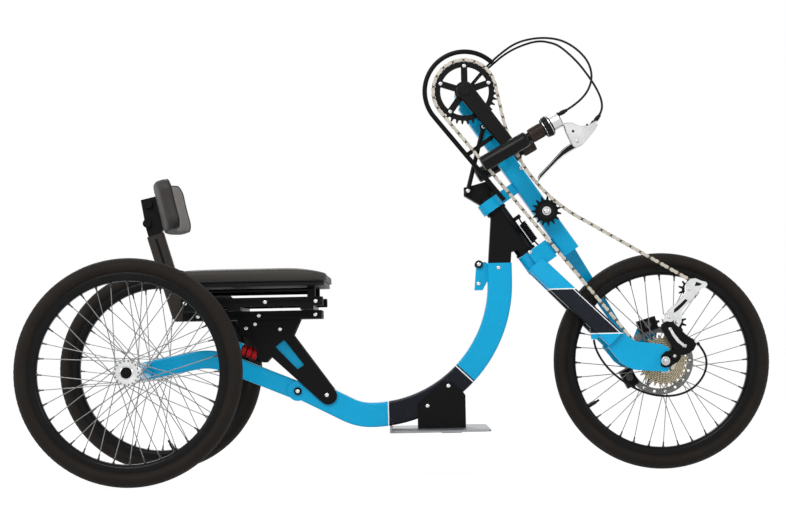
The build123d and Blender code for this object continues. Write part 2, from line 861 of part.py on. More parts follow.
with BuildPart() as foot_tray:
    tray_length = foot_plate_front - foot_plate_rear
    tray_middle = (foot_plate_front + foot_plate_rear) / 2
    with BuildSketch(Plane.XY.offset(foot_bracket_bottom - foot_plate_thickness)):
        with Locations((tray_middle, 0)):
            RectangleRounded(tray_length, 2 * foot_plate_half, 22)
        with Locations(*[(x, side * strap_slot_y) for x in strap_slots for side in (-1, 1)]):
            SlotOverall(46, 7, mode=Mode.SUBTRACT)
    extrude(amount=foot_plate_thickness)
    with BuildSketch(Plane.XY.offset(foot_bracket_bottom)):
        for side in (-1, 1):
            with Locations((foot_plate_rear + foot_plate_thickness / 2, side * (foot_plate_half + 38) / 2)):
                Rectangle(foot_plate_thickness, foot_plate_half - 84)
    extrude(amount=foot_lip_height)
    with BuildSketch(Plane.XY.offset(foot_bracket_bottom - foot_plate_thickness)):
        with Locations((109, 0)):
            Rectangle(46, 40)
    extrude(amount=-8)
save(foot_tray, "foot_tray")

# Steering assembly: steerer, upper clamp with the clevis, boom, fork, stay
with BuildPart() as steerer:
    with BuildSketch(head_plane(clamp_start)):
        Circle(steerer_radius)
    extrude(amount=head_tube_end + crown_gap - clamp_start)
save(steerer, "steerer")

with BuildPart() as upper_clamp:
    clamp_length = head_tube_start - crown_gap - clamp_start
    with BuildSketch(head_plane(clamp_start)):
        Circle(clamp_half_width)
        with Locations((boom_rear / 2, 0)):
            Rectangle(boom_rear, 2 * bridge_half_width)
        Circle(steerer_radius, mode=Mode.SUBTRACT)
    extrude(amount=clamp_length)
save(upper_clamp, "upper_clamp")

clevis_top = clamp_start
with BuildPart() as clevis:
    with BuildSketch(head_plane(clevis_top)):
        Circle(clamp_half_width - 6)
    extrude(amount=-10)
    with BuildSketch(side_plane(-clevis_half)):
        with BuildLine():
            Polyline(
                head_point(clevis_top, 24),
                head_point(clevis_top - 34, 30),
                (clevis_pivot[0] + 6, clevis_pivot[1] + 12),
                (clevis_pivot[0] - 9, clevis_pivot[1] + 9),
                (clevis_pivot[0] - 9, clevis_pivot[1] - 10),
                head_point(clevis_top, -24),
                close=True,
            )
        make_face()
    extrude(amount=-2 * clevis_half)
    with BuildSketch(side_plane(-boom_half_width)):
        with Locations(clevis_pivot):
            Circle(strut_radius + 3)
    extrude(amount=-2 * boom_half_width)
save(clevis, "clevis")

strut_foot = Vector(clevis_pivot[0], 0, clevis_pivot[1])
strut_head = Vector(strut_top[0], 0, strut_top[1])
with BuildPart() as struts:
    for side in (-1, 1):
        offset_y = Vector(0, side * (boom_half_width + strut_eye_half), 0)
        with BuildSketch(Plane(origin=strut_foot + offset_y, z_dir=strut_head - strut_foot)):
            Circle(strut_radius)
        extrude(amount=(strut_head - strut_foot).length)
        with BuildSketch(side_plane(side * boom_half_width)):
            with Locations(clevis_pivot, strut_top):
                Circle(strut_radius + 3)
        extrude(amount=-side * 2 * strut_eye_half)
save(struts, "boom_struts")

with BuildPart() as boom:
    with BuildSketch(head_plane(boom_top)):
        with Locations((boom_rear + boom_depth / 2, 0)):
            RectangleRounded(boom_depth, 2 * boom_half_width, boom_corner)
    extrude(amount=boom_bottom - boom_top)
    with BuildSketch(side_plane(-bottom_bracket_half)):
        with Locations((crank_axis_x, crank_axis_z)):
            Circle(bottom_bracket_radius)
    extrude(amount=-2 * bottom_bracket_half)
    with BuildSketch(side_plane(-boom_half_width)):
        with BuildLine():
            Polyline(
                (crank_axis_x, crank_axis_z),
                (crank_axis_x - 17, crank_axis_z - 14),
                head_point(boom_top + 20, boom_rear),
                head_point(boom_top + 20, boom_rear + boom_depth),
                (crank_axis_x + 17, crank_axis_z + 14),
                close=True,
            )
        make_face()
    extrude(amount=-2 * boom_half_width)
    with BuildSketch(head_plane(crown_start + 6)):
        with Locations(((crown_front + boom_rear) / 2 + 1, 0)):
            Rectangle(boom_rear - crown_front + 2, 2 * bridge_half_width)
    extrude(amount=crown_length - 12)
    with BuildSketch(side_plane(-boom_half_width)):
        with Locations(idler_centre):
            Circle(idler_bolt_radius + 6)
    extrude(amount=-chain_y - idler_disc_thickness / 2 - idler_seat_gap - boom_half_width)
    with BuildSketch(side_plane(chain_y - idler_disc_thickness / 2 - 6)):
        with Locations(idler_centre):
            Circle(idler_bolt_radius)
    extrude(amount=-20)
    with BuildSketch(side_plane(-bottom_bracket_half - 5)):
        with Locations((crank_axis_x, crank_axis_z)):
            Circle(spindle_radius + bottom_bracket_bore_gap)
    extrude(amount=-2 * bottom_bracket_half - 10, mode=Mode.SUBTRACT)
save(boom, "boom")

leg_bottom, stay_bottom = by_axle(leg_foot, stay_foot)
leg_heading = Vector(leg_bottom[0] - leg_top[0], 0, leg_bottom[1] - leg_top[1]).normalized()
leg_across = Vector(-leg_heading.Z, 0, leg_heading.X)
foot_outline = by_axle(
    (leg_foot[0] - 18, leg_foot[1] - 18),
    (-120, 22),
    (-103, 0),
    (-87, -12),
    (-69, -19),
    (5, -25),
    (13, -10),
    (9, 30),
    (-9, 39),
    (-66, 46),
    (leg_foot[0] + 15, leg_foot[1] + 15),
)
stay_heading = Vector(stay_bottom[0] - stay_top[0], 0, stay_bottom[1] - stay_top[1]).normalized()
stay_across = Vector(-stay_heading.Z, 0, stay_heading.X)
with BuildPart() as fork:
    with BuildSketch(head_plane(crown_start)):
        Circle(crown_radius)
        with Locations((crown_front / 2, 0)):
            Rectangle(crown_front, 2 * crown_half_width)
    extrude(amount=crown_length)
    for side in (-1, 1):
        top = Vector(leg_top[0], side * leg_top_y, leg_top[1])
        bottom = Vector(leg_bottom[0], side * (dropout_inner + leg_thickness / 2), leg_bottom[1])
        with BuildSketch(Plane(origin=top, x_dir=leg_across, z_dir=leg_heading)):
            RectangleRounded(leg_depth, leg_thickness, 4)
        with BuildSketch(Plane(origin=bottom, x_dir=leg_across, z_dir=leg_heading)):
            RectangleRounded(leg_depth, leg_thickness, 4)
        loft()
        with BuildSketch(side_plane(side * dropout_inner)):
            with BuildLine():
                Polyline(*foot_outline, close=True)
            make_face()
        extrude(amount=-side * dropout_thickness)
    stay_first = Vector(stay_top[0], boom_half_width + stay_thickness / 2, stay_top[1])
    stay_last = Vector(stay_bottom[0], stay_end_y, stay_bottom[1])
    with BuildSketch(Plane(origin=stay_first, x_dir=stay_across, z_dir=stay_heading)):
        Rectangle(stay_top_depth, stay_thickness)
    with BuildSketch(Plane(origin=stay_last, x_dir=stay_across, z_dir=stay_heading)):
        Rectangle(stay_bottom_depth, stay_thickness)
    loft()
    with BuildSketch(side_plane(boom_half_width)):
        with Locations(stay_top):
            Circle(stay_top_depth / 2 - 1)
    extrude(amount=-stay_thickness)
    with BuildSketch(side_plane(dropout_inner)):
        with BuildLine():
            Polyline(*by_axle((-63, 38), (-47, 76), (-33, 92), (-9, 97), (1, 80), (-5, 34)), close=True)
        make_face()
    extrude(amount=-caliper_tab_thickness)
    with BuildSketch(side_plane(cable_stop_y + 8)):
        with BuildLine():
            Polyline(*by_axle((-171, 90), (-145, 64), (-156, 52), (-167, 53)), close=True)
        make_face()
    extrude(amount=16)
    with BuildSketch(side_plane(-dropout_inner - dropout_thickness)):
        with Locations((axle_x, wheel_radius)):
            Circle(front_axle_radius + 0.1)
    extrude(amount=-2 * (dropout_inner + dropout_thickness), mode=Mode.SUBTRACT)
save(fork, "fork")

with BuildPart() as front_axle:
    axle_end = dropout_inner + dropout_thickness + 8
    with BuildSketch(side_plane(-axle_end)):
        with Locations((axle_x, wheel_radius)):
            Circle(front_axle_radius)
    extrude(amount=-2 * axle_end)
    for side in (-1, 1):
        with BuildSketch(side_plane(side * (front_hub_end + 0.8))):
            with Locations((axle_x, wheel_radius)):
                Circle(axle_collar_radius)
        extrude(amount=-side * (dropout_inner - front_hub_end - 0.8))
        with BuildSketch(side_plane(side * (axle_end - 4))):
            with Locations((axle_x, wheel_radius)):
                Circle(axle_collar_radius)
        extrude(amount=-side * 6)
save(front_axle, "front_axle")

# Chain: one closed loop round the chainring, the engaged cog and the two pulleys, with a sagging upper run
sag_centre = crossing(
    (crank_axis_x, crank_axis_z),
    pitch_radius(chainring_teeth) + chain_sag_gap + chain_sag_radius,
    idler_centre,
    pitch_radius(idler_teeth) + chain_sag_radius,
)
sag = atan2(sag_centre[1] - idler_centre[1], sag_centre[0] - idler_centre[0])
guide_centre, tension_centre = by_axle(guide_place, tension_place)
# Columns: centre, radius, and 1 where the loop turns counter-clockwise seen from the right, else -1
chain_wraps = (
    ((crank_axis_x, crank_axis_z), pitch_radius(chainring_teeth), 1),
    ((axle_x, wheel_radius), pitch_radius(cog_teeth[0]), 1),
    (guide_centre, pitch_radius(pulley_teeth), -1),
    (tension_centre, pitch_radius(pulley_teeth), 1),
    (sag_centre, chain_sag_radius, -1),
)


def chain_heading(first, second):
    """Direction of the straight run that leaves one wrap and meets the next."""
    (x0, z0), r0, turn0 = first
    (x1, z1), r1, turn1 = second
    distance = hypot(x1 - x0, z1 - z0)
    return atan2(z1 - z0, x1 - x0) - asin((turn1 * r1 - turn0 * r0) / distance)


def chain_stations(outward):
    """For each wrap: where the loop meets it, its middle and where it leaves, moved outward from the pitch line."""
    stations = []
    for index, (centre, radius, turn) in enumerate(chain_wraps):
        arrive = chain_heading(chain_wraps[index - 1], chain_wraps[index])
        leave = chain_heading(chain_wraps[index], chain_wraps[(index + 1) % len(chain_wraps)])
        sweep_angle = (leave - arrive) * turn % (2 * pi)
        shifted = radius + turn * outward
        points = []
        for share in (0, 0.5, 1):
            angle = arrive + turn * sweep_angle * share - turn * pi / 2
            points.append((centre[0] + shifted * cos(angle), centre[1] + shifted * sin(angle)))
        stations.append(points)
    return stations


def chain_outline(outward):
    stations = chain_stations(outward)
    for index, (first, middle, last) in enumerate(stations):
        ThreePointArc(first, middle, last)
        Line(last, stations[(index + 1) % len(stations)][0])


with BuildPart() as chain:
    for side in (-1, 1):
        with BuildSketch(side_plane(chain_y + side * chain_slot / 2)):
            with BuildLine():
                chain_outline(chain_height / 2)
            make_face()
            with BuildLine():
                chain_outline(-chain_height / 2)
            make_face(mode=Mode.SUBTRACT)
        extrude(amount=-side * (chain_width - chain_slot) / 2)
    stations = chain_stations(0)
    pins = []
    for index, station in enumerate(stations):
        start, end = station[2], stations[(index + 1) % len(stations)][0]
        run = hypot(end[0] - start[0], end[1] - start[1])
        count = int(run // (chain_pitch * chain_pin_every))
        for pin in range(count):
            share = (pin + 1) / (count + 1)
            pins.append((start[0] + (end[0] - start[0]) * share, start[1] + (end[1] - start[1]) * share))
    with BuildSketch(side_plane(chain_y - chain_width / 2)):
        with Locations(*pins):
            RegularPolygon(radius=chain_pin_radius, side_count=6)
    extrude(amount=-chain_width)
save(chain, "chain")

with BuildPart() as guard:
    with BuildLine(Plane.XZ) as guard_path:
        guard_turn = chain_heading(chain_wraps[0], chain_wraps[1])
        leave_angle = degrees(guard_turn) - 90
        bow_radius = pitch_radius(chainring_teeth) + guard_distance
        CenterArc((crank_axis_x, crank_axis_z), bow_radius, leave_angle, -guard_wrap)
        end_x = crank_axis_x + bow_radius * cos(radians(leave_angle))
        end_z = crank_axis_z + bow_radius * sin(radians(leave_angle))
        Line((end_x, end_z), (end_x + guard_run * cos(guard_turn), end_z + guard_run * sin(guard_turn)))
    guard_wire = guard_path.wires()[0].moved(Location((0, chain_y, 0)))
    guard_start = guard_wire @ 0
    with BuildSketch(Plane(origin=guard_start, z_dir=guard_wire % 0)):
        Circle(guard_radius)
    sweep(path=guard_wire)
    for place in guard_stay_places:
        tube_point = (end_x + place * cos(guard_turn), end_z + place * sin(guard_turn))
        along_head = (Vector(tube_point[0], 0, tube_point[1]) - head_origin).dot(down)
        boom_point = head_point(along_head, boom_rear + boom_depth / 2)
        stay_x, stay_z = boom_point[0] - tube_point[0], boom_point[1] - tube_point[1]
        with BuildSketch(side_plane(guard_stay_y)):
            with Locations(((tube_point[0] + boom_point[0]) / 2, (tube_point[1] + boom_point[1]) / 2)):
                SlotCenterToCenter(hypot(stay_x, stay_z), 10, rotation=degrees(atan2(stay_z, stay_x)))
        extrude(amount=guard_stay_thickness)
        with BuildSketch(side_plane(guard_stay_y)):
            with Locations(tube_point):
                Circle(4)
        extrude(amount=guard_stay_y - chain_y - 1)
        with BuildSketch(side_plane(-boom_half_width)):
            with Locations(boom_point):
                Circle(4)
        extrude(amount=-guard_stay_y - boom_half_width + 1)
save(guard, "chain_guard")

with BuildPart() as idler:
    with BuildSketch(side_plane(chain_y)):
        with BuildLine():
            Polyline(*star(idler_teeth, idler_centre, sag), close=True)
        make_face()
    extrude(amount=pulley_thickness / 2, both=True)
    with BuildSketch(side_plane(chain_y)):
        with Locations(idler_centre):
            Circle(idler_disc_radius)
    extrude(amount=idler_disc_thickness / 2, both=True)
    with BuildSketch(side_plane(chain_y - idler_disc_thickness)):
        with Locations(idler_centre):
            Circle(idler_bolt_radius + 0.1)
    extrude(amount=-2 * idler_disc_thickness, mode=Mode.SUBTRACT)
save(idler, "idler")

with BuildPart() as mech_pulleys:
    for centre in (guide_centre, tension_centre):
        with BuildSketch(side_plane(chain_y)):
            with BuildLine():
                Polyline(*star(pulley_teeth, centre), close=True)
            make_face()
        extrude(amount=pulley_thickness / 2, both=True)
        with BuildSketch(side_plane(chain_y)):
            with Locations(centre):
                Circle(9)
        extrude(amount=cage_inner - 0.2, both=True)
save(mech_pulleys, "derailleur_pulleys")

with BuildPart() as cage:
    cage_outline = by_axle(
        (5, 102),
        (23, 72),
        (43, 80),
        (49, 102),
        (77, 152),
        (104, 171),
        (100, 180),
        (63, 178),
        (45, 162),
        (13, 114),
    )
    for side in (-1, 1):
        with BuildSketch(side_plane(chain_y + side * cage_inner)):
            with BuildLine():
                Polyline(*cage_outline, close=True)
            make_face()
        extrude(amount=-side * cage_thickness)
    with BuildSketch(side_plane(chain_y - cage_inner)):
        with Locations(*by_axle((98, 175))):
            Circle(3)
    extrude(amount=-2 * cage_inner)
save(cage, "derailleur_cage")

with BuildPart() as mech_body:
    hanger_y = -dropout_inner - dropout_thickness
    with BuildSketch(side_plane(hanger_y)):
        with BuildLine():
            Polyline(*by_axle((-9, -10), (7, -14), (31, 0), (35, 14), (23, 24), (-1, 22)), close=True)
        make_face()
        with Locations((axle_x, wheel_radius)):
            Circle(axle_collar_radius + 1, mode=Mode.SUBTRACT)
    extrude(amount=5)
    with BuildSketch(side_plane(chain_y - cage_inner - cage_thickness)):
        with BuildLine():
            Polyline(
                *by_axle(
                    (19, 18),
                    (41, 12),
                    (65, 22),
                    (74, 37),
                    (69, 51),
                    (47, 60),
                    (27, 96),
                    (7, 102),
                    (-7, 92),
                    (-3, 68),
                    (13, 46),
                ),
                close=True,
            )
        make_face()
    extrude(amount=mech_body_depth)
    with BuildSketch(side_plane(hanger_y - 4)):
        with Locations(*by_axle((22, 12))):
            Circle(10)
    extrude(amount=8)
    entry_x, entry_z = by_axle((69, 46.7))[0]
    with BuildSketch(Plane(origin=(entry_x, hanger_y - 2, entry_z), z_dir=(0.596, 0, -0.803))):
        Circle(4.5)
    extrude(amount=15.5)
save(mech_body, "derailleur_body")

with BuildPart() as calipers:
    for angle, place in caliper_places:
        with BuildSketch(side_plane(dropout_inner)):
            with Locations(*by_axle(place)):
                Rectangle(44, 30, rotation=angle)
        extrude(amount=dropout_inner - rotor_y + 8)
        with BuildSketch(side_plane(rotor_y + rotor_thickness / 2 + caliper_slot)):
            with Locations((axle_x, wheel_radius)):
                Circle(rotor_radius + 3)
        extrude(amount=2 * caliper_slot, mode=Mode.SUBTRACT)
save(calipers, "brake_calipers")

with BuildPart() as centring_spring:
    spring_end = crown_start
    spring_start = spring_lug_at + 9
    with BuildSketch(head_plane(spring_start + 14)):
        with Locations((spring_front, 0)):
            Circle(9)
    extrude(amount=spring_end - spring_start - 28)
    with BuildSketch(head_plane(spring_start)):
        with Locations((spring_front, 0)):
            Circle(2)
    extrude(amount=spring_end - spring_start)
save(centring_spring, "centring_spring")

# Cranks: chainring with its spider, right arm with the spindle, left arm
with BuildPart() as chainring:
    centre = (crank_axis_x, crank_axis_z)
    with BuildSketch(side_plane(chain_y)):
        with BuildLine():
            Polyline(*star(chainring_teeth, centre), close=True)
        make_face()
        with Locations(centre):
            Circle(pitch_radius(chainring_teeth) - chainring_width, mode=Mode.SUBTRACT)
    extrude(amount=chainring_thickness / 2, both=True)
    with BuildSketch(side_plane(chain_y + 1)):
        with Locations(centre):
            Circle(crank_root_radius + 3)
            with PolarLocations(spider_reach / 2, spider_arms, start_angle=90):
                Rectangle(spider_reach, 15)
            with PolarLocations(spider_reach, spider_arms, start_angle=90):
                Circle(8.5)
            with PolarLocations(spider_reach, spider_arms, start_angle=90):
                Circle(3, mode=Mode.SUBTRACT)
            Circle(spindle_radius + 0.1, mode=Mode.SUBTRACT)
    extrude(amount=6)
save(chainring, "chainring")

for side_name, side in (("right", -1), ("left", 1)):
    arm_line = Vector(crank_end_x - crank_axis_x, 0, crank_end_z - crank_axis_z)
    with BuildPart() as crank:
        heading = radians(crank_angle)
        across_x, across_z = -sin(heading), cos(heading)
        with BuildSketch(side_plane(side * crank_inner)):
            with Locations((crank_axis_x, crank_axis_z)):
                Circle(crank_root_radius)
            with Locations((crank_end_x, crank_end_z)):
                Circle(crank_end_radius)
            with BuildLine():
                Polyline(
                    (crank_axis_x + across_x * crank_root_radius, crank_axis_z + across_z * crank_root_radius),
                    (crank_end_x + across_x * crank_end_radius, crank_end_z + across_z * crank_end_radius),
                    (crank_end_x - across_x * crank_end_radius, crank_end_z - across_z * crank_end_radius),
                    (crank_axis_x - across_x * crank_root_radius, crank_axis_z - across_z * crank_root_radius),
                    close=True,
                )
            make_face()
        extrude(amount=-side * crank_thickness)
        with BuildSketch(side_plane(side * (crank_inner + crank_thickness))):
            with Locations((crank_end_x, crank_end_z)):
                Circle(grip_pin_radius)
        extrude(amount=-side * (grip_pin_end - crank_inner - crank_thickness))
        if side < 0:
            with BuildSketch(side_plane(-crank_inner)):
                with Locations((crank_axis_x, crank_axis_z)):
                    Circle(spindle_radius)
            extrude(amount=-2 * crank_inner)
    save(crank, f"crank_{side_name}")

# Hand grips: a sleeve that turns on the crank pin and a tube across it, with the bar for the controls on the right
grip_heading = Vector(cos(radians(grip_slope)), 0, sin(radians(grip_slope)))


def grip_plane(along, y):
    """Plane across the grip's tube, at that distance forward of the crank pin."""
    return Plane(origin=Vector(crank_end_x, y, crank_end_z) + grip_heading * along, z_dir=grip_heading)


for side_name, side in (("right", -1), ("left", 1)):
    tube_y = side * grip_y
    with BuildPart() as grip:
        with BuildSketch(grip_plane(-grip_back, tube_y)):
            Circle(grip_radius)
        extrude(amount=grip_back + grip_front)
        with BuildSketch(grip_plane(grip_front, tube_y)):
            Circle(bar_radius)
        extrude(amount=grip_cup_start - grip_front)
        with BuildSketch(grip_plane(grip_cup_start, tube_y)):
            Circle(grip_radius - 1)
        extrude(amount=grip_cup_end - grip_cup_start)
        if side < 0:
            with BuildSketch(grip_plane(grip_cup_end, tube_y)):
                Circle(bar_radius)
            extrude(amount=lever_clamp_end + 2 - grip_cup_end)
        with BuildSketch(side_plane(side * (crank_inner + crank_thickness + sleeve_gap))):
            with Locations((crank_end_x, crank_end_z)):
                Circle(grip_sleeve_radius)
        extrude(amount=-side * (grip_y - crank_inner - crank_thickness - sleeve_gap))
        with BuildSketch(side_plane(side * crank_inner)):
            with Locations((crank_end_x, crank_end_z)):
                Circle(grip_pin_radius + grip_bore_gap)
        extrude(amount=-side * (grip_pin_end - crank_inner + 2), mode=Mode.SUBTRACT)
    save(grip, f"grip_{side_name}")

with BuildPart() as shifter:
    with BuildSketch(grip_plane(grip_cup_end + 0.3, -grip_y)):
        Circle(shifter_radius)
        Circle(bar_radius + 0.1, mode=Mode.SUBTRACT)
    extrude(amount=shifter_end - grip_cup_end - 0.6)
    chamfer(shifter.edges().filter_by(GeomType.CIRCLE).group_by(SortBy.RADIUS)[-1], length=2.5)
save(shifter, "twist_shifter")

with BuildPart() as lever:
    with BuildSketch(grip_plane(shifter_end, -grip_y)):
        Circle(bar_radius + 6)
        Circle(bar_radius + 0.1, mode=Mode.SUBTRACT)
    extrude(amount=lever_clamp_end - shifter_end)
    with BuildSketch(side_plane(-grip_y - lever_half)):
        with BuildLine():
            Polyline(
                (crank_end_x + 109, crank_end_z + 47),
                (crank_end_x + 131, crank_end_z + 48),
                (crank_end_x + 150, crank_end_z + 40),
                (crank_end_x + 172, crank_end_z + 46),
                (crank_end_x + 184, crank_end_z + 52),
                (crank_end_x + 188, crank_end_z + 42),
                (crank_end_x + 172, crank_end_z + 20),
                (crank_end_x + 152, crank_end_z - 2),
                (crank_end_x + 134, crank_end_z - 8),
                (crank_end_x + 126, crank_end_z + 2),
                (crank_end_x + 116, crank_end_z + 24),
                close=True,
            )
        make_face()
    extrude(amount=-2 * lever_half)
    with BuildSketch(side_plane(-grip_y - lever_half + 2)):
        with BuildLine():
            Polyline(
                (crank_end_x + 148, crank_end_z + 2),
                (crank_end_x + 138, crank_end_z - 10),
                (crank_end_x + 110, crank_end_z - 26),
                (crank_end_x + 84, crank_end_z - 50),
                (crank_end_x + 58, crank_end_z - 76),
                (crank_end_x + 51, crank_end_z - 84),
                (crank_end_x + 48, crank_end_z - 78),
                (crank_end_x + 54, crank_end_z - 66),
                (crank_end_x + 76, crank_end_z - 44),
                (crank_end_x + 104, crank_end_z - 14),
                (crank_end_x + 128, crank_end_z + 4),
                close=True,
            )
        make_face()
    extrude(amount=-2 * lever_half + 4)
    with BuildSketch(grip_plane(grip_cup_end, -grip_y)):
        Circle(bar_radius + 0.1)
    extrude(amount=lever_clamp_end + 4 - grip_cup_end, mode=Mode.SUBTRACT)
save(lever, "brake_lever")

# Cables: the two from the right grip loop over to the boom, and one runs from the fork to the derailleur.
# Columns: x, y, z. A loop's two halves meet above the chainring, where the turning crank swings them.
gear_loop = (
    (368.3, -175.0, 813.6),
    (390.7, -175.0, 825.3),
    (423.8, -172.0, 853.2),
    (439.3, -165.0, 886.1),
    (438.0, -155.0, 917.8),
    (424.2, -145.0, 945.8),
    (397.6, -130.0, 972.9),
    (366.6, -115.0, 990.0),
    (323.1, -95.0, 996.6),
    (275.1, -70.0, 990.0),
    (238.6, -45.0, 967.3),
    (214.2, -25.0, 947.5),
    (190.0, -14.0, 924.0),
    (168.0, -12.0, 898.0),
)
brake_loop = (
    (446.0, -175.0, 797.5),
    (457.0, -175.0, 811.0),
    (461.0, -172.0, 833.0),
    (452.8, -165.0, 861.5),
    (434.3, -155.0, 895.5),
    (407.7, -145.0, 933.9),
    (373.5, -125.0, 970.0),
    (354.5, -110.0, 981.5),
    (322.9, -95.0, 989.6),
    (279.0, -70.0, 979.6),
    (246.9, -45.0, 965.0),
    (220.4, -20.0, 945.3),
    (193.0, -4.0, 924.0),
    (170.0, -1.0, 896.1),
)
derailleur_run = (
    (437.7, cable_stop_y, 301.3),
    (439.2, -73.0, 288.0),
    (447.5, -77.0, 265.4),
    (466.5, -80.0, 236.4),
    (498.1, -80.0, 207.1),
    (540.4, -80.0, 181.2),
    (583.1, -80.0, 169.6),
    (626.1, -80.0, 170.6),
    (662.3, -80.0, 186.0),
    (686.4, -80.0, 214.1),
    (694.3, -80.0, 242.6),
    (689.5, -80.0, 267.8),
    (677.6, -80.0, 283.8),
)
cable_runs = {"derailleur_cable": [Vector(*corner) for corner in derailleur_run]}
for loop_name, loop in (("gear", gear_loop), ("brake", brake_loop)):
    corners = [Vector(*corner) for corner in loop]
    before, after = corners[loop_split], corners[loop_split + 1]
    half_gap = (after - before).normalized() * loop_gap / 2
    meeting = (before + after) / 2
    cable_runs[f"{loop_name}_cable_grip"] = corners[: loop_split + 1] + [meeting - half_gap]
    cable_runs[f"{loop_name}_cable_boom"] = [meeting + half_gap] + corners[loop_split + 1 :]
for cable_name, points in cable_runs.items():
    runs = [end - start for start, end in zip(points, points[1:])]
    radii = []
    for first, second in zip(runs, runs[1:]):
        half_turn = radians(first.get_angle(second)) / 2
        radii.append(0.45 * min(first.length, second.length) / tan(half_turn))
    print(cable_name, "bend radii", [round(radius) for radius in radii])
    with BuildPart() as cable:
        with BuildLine() as cable_path:
            FilletPolyline(*points, radius=radii)
        cable_wire = cable_path.wires()[0]
        with BuildSketch(Plane(origin=cable_wire @ 0, z_dir=cable_wire % 0)):
            Circle(cable_radius)
        sweep(path=cable_wire)
    save(cable, cable_name)
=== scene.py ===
from math import asin, atan2, cos, hypot, pi, radians, sin, sqrt

import bmesh
import bpy
from bpy.props import FloatProperty, FloatVectorProperty, IntProperty, PointerProperty
from mathutils import Matrix, Vector


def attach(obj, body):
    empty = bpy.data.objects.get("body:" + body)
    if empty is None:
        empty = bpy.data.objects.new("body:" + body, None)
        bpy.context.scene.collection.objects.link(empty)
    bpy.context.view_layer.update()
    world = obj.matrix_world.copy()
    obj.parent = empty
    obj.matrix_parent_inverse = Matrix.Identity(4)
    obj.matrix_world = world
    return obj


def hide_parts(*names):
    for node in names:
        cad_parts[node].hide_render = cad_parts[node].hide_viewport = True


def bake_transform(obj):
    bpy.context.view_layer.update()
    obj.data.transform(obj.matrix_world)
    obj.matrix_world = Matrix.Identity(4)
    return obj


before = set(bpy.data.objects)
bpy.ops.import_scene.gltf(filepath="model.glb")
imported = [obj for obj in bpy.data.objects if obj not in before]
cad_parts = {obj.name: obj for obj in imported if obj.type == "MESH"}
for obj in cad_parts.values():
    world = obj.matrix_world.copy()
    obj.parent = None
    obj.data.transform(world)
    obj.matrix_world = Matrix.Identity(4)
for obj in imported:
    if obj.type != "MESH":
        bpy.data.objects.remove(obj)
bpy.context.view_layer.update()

bl_info = {
    "name": "Handcycle",
    "version": (1, 0, 0),
    "blender": (4, 5, 0),
    "location": "3D View > Sidebar > Handcycle",
    "description": "Dresses the packed handcycle with its detailed pieces, finishes, lamps and camera",
    "category": "Object",
}

# Places as in the CAD model, in metres: +X forward, +Y to the vehicle's left, +Z up
ORIGIN = Vector((0, 0, 0))
LEFT = Vector((0, 1, 0))
UP = Vector((0, 0, 1))
WHEELS = {
    "rear_right": (Vector((-0.599, -0.32, 0.25)), -1, "rear_wheel_right"),
    "rear_left": (Vector((-0.599, 0.32, 0.25)), 1, "rear_wheel_left"),
    "front": (Vector((0.599, 0.0, 0.25)), 1, "front_wheel"),
}
AXLE = WHEELS["front"][0]
CRANK = Vector((0.154, 0.0, 0.8805))
PIN = Vector((0.261018, 0.0, 0.742036))
GRIP_Y = 0.175
GRIP_WAY = Vector((cos(radians(29)), 0, sin(radians(29))))
HEAD = Vector((0.212, 0.0, 0.624))
DOWN = Vector((0.56453, 0, -0.82541))
AHEAD = Vector((0.82541, 0, 0.56453))
IDLER = Vector((0.337, 0.0, 0.600))
GUIDE = Vector((0.6285, 0.0, 0.338))
TENSION = Vector((0.6595, 0.0, 0.4125))
CHAIN_Y = -0.058
PAD_MIDDLE = Vector((-0.562, 0.0, 0.622))
PAD_UP = Vector((-sin(radians(13)), 0, cos(radians(13))))
PAD_AHEAD = Vector((cos(radians(13)), 0, sin(radians(13))))


def head_point(along, front, y=0.0):
    """Place from the distance down the steering axis and in front of it."""
    return HEAD + DOWN * along + AHEAD * front + Vector((0, y, 0))


def tint(red, green, blue):
    """Colour with its alpha, from the three parts from 0 to 255 as seen on a screen."""
    parts = [part / 255 for part in (red, green, blue)]
    return (*(part / 12.92 if part < 0.0404 else ((part + 0.055) / 1.055) ** 2.4 for part in parts), 1.0)


class HandcyclePaint(bpy.types.PropertyGroup):
    """Colours of the paint and the coverings."""

    cyan: FloatVectorProperty(
        name="Frame", description="Paint of the tubes", subtype="COLOR", size=4, default=tint(4, 160, 208)
    )
    navy: FloatVectorProperty(
        name="Band", description="Dark band on the main tube and the fork", subtype="COLOR", size=4,
        default=tint(5, 10, 24),
    )
    line: FloatVectorProperty(
        name="Line", description="Thin lines beside the dark bands", subtype="COLOR", size=4,
        default=tint(236, 240, 242),
    )
    cushion: FloatVectorProperty(
        name="Cushion", description="Covering of the seat", subtype="COLOR", size=4, default=tint(50, 46, 42)
    )
    # Colour of the back pad's front, paler than its black covering: painted light on the lit face.
    pad: FloatVectorProperty(
        name="Back pad", description="Covering of the back pad", subtype="COLOR", size=4,
        default=tint(112, 105, 101),
    )
    rubber: FloatVectorProperty(
        name="Spring", description="Rubber discs of the rear spring", subtype="COLOR", size=4,
        default=tint(188, 24, 28),
    )


class HandcycleWheels(bpy.types.PropertyGroup):
    """Sizes of the tyres, the rims and the spokes."""

    tread_depth: FloatProperty(
        name="Tread depth", description="Depth of the grooves", default=0.0013, unit="LENGTH"
    )
    tread_blocks: IntProperty(name="Tread blocks", description="Blocks round one tyre", default=108)
    tyre_half: FloatProperty(
        name="Half tyre", description="Half of the tyre's width", default=0.0235, unit="LENGTH"
    )
    spoke_radius: FloatProperty(name="Spoke", description="Radius of a spoke", default=0.001, unit="LENGTH")
    valve_length: FloatProperty(
        name="Valve", description="Length of the valve below the rim", default=0.03, unit="LENGTH"
    )
    valve_turn: FloatProperty(
        name="Valve's place", description="Turn of the front wheel's valve in degrees", default=-149.0
    )


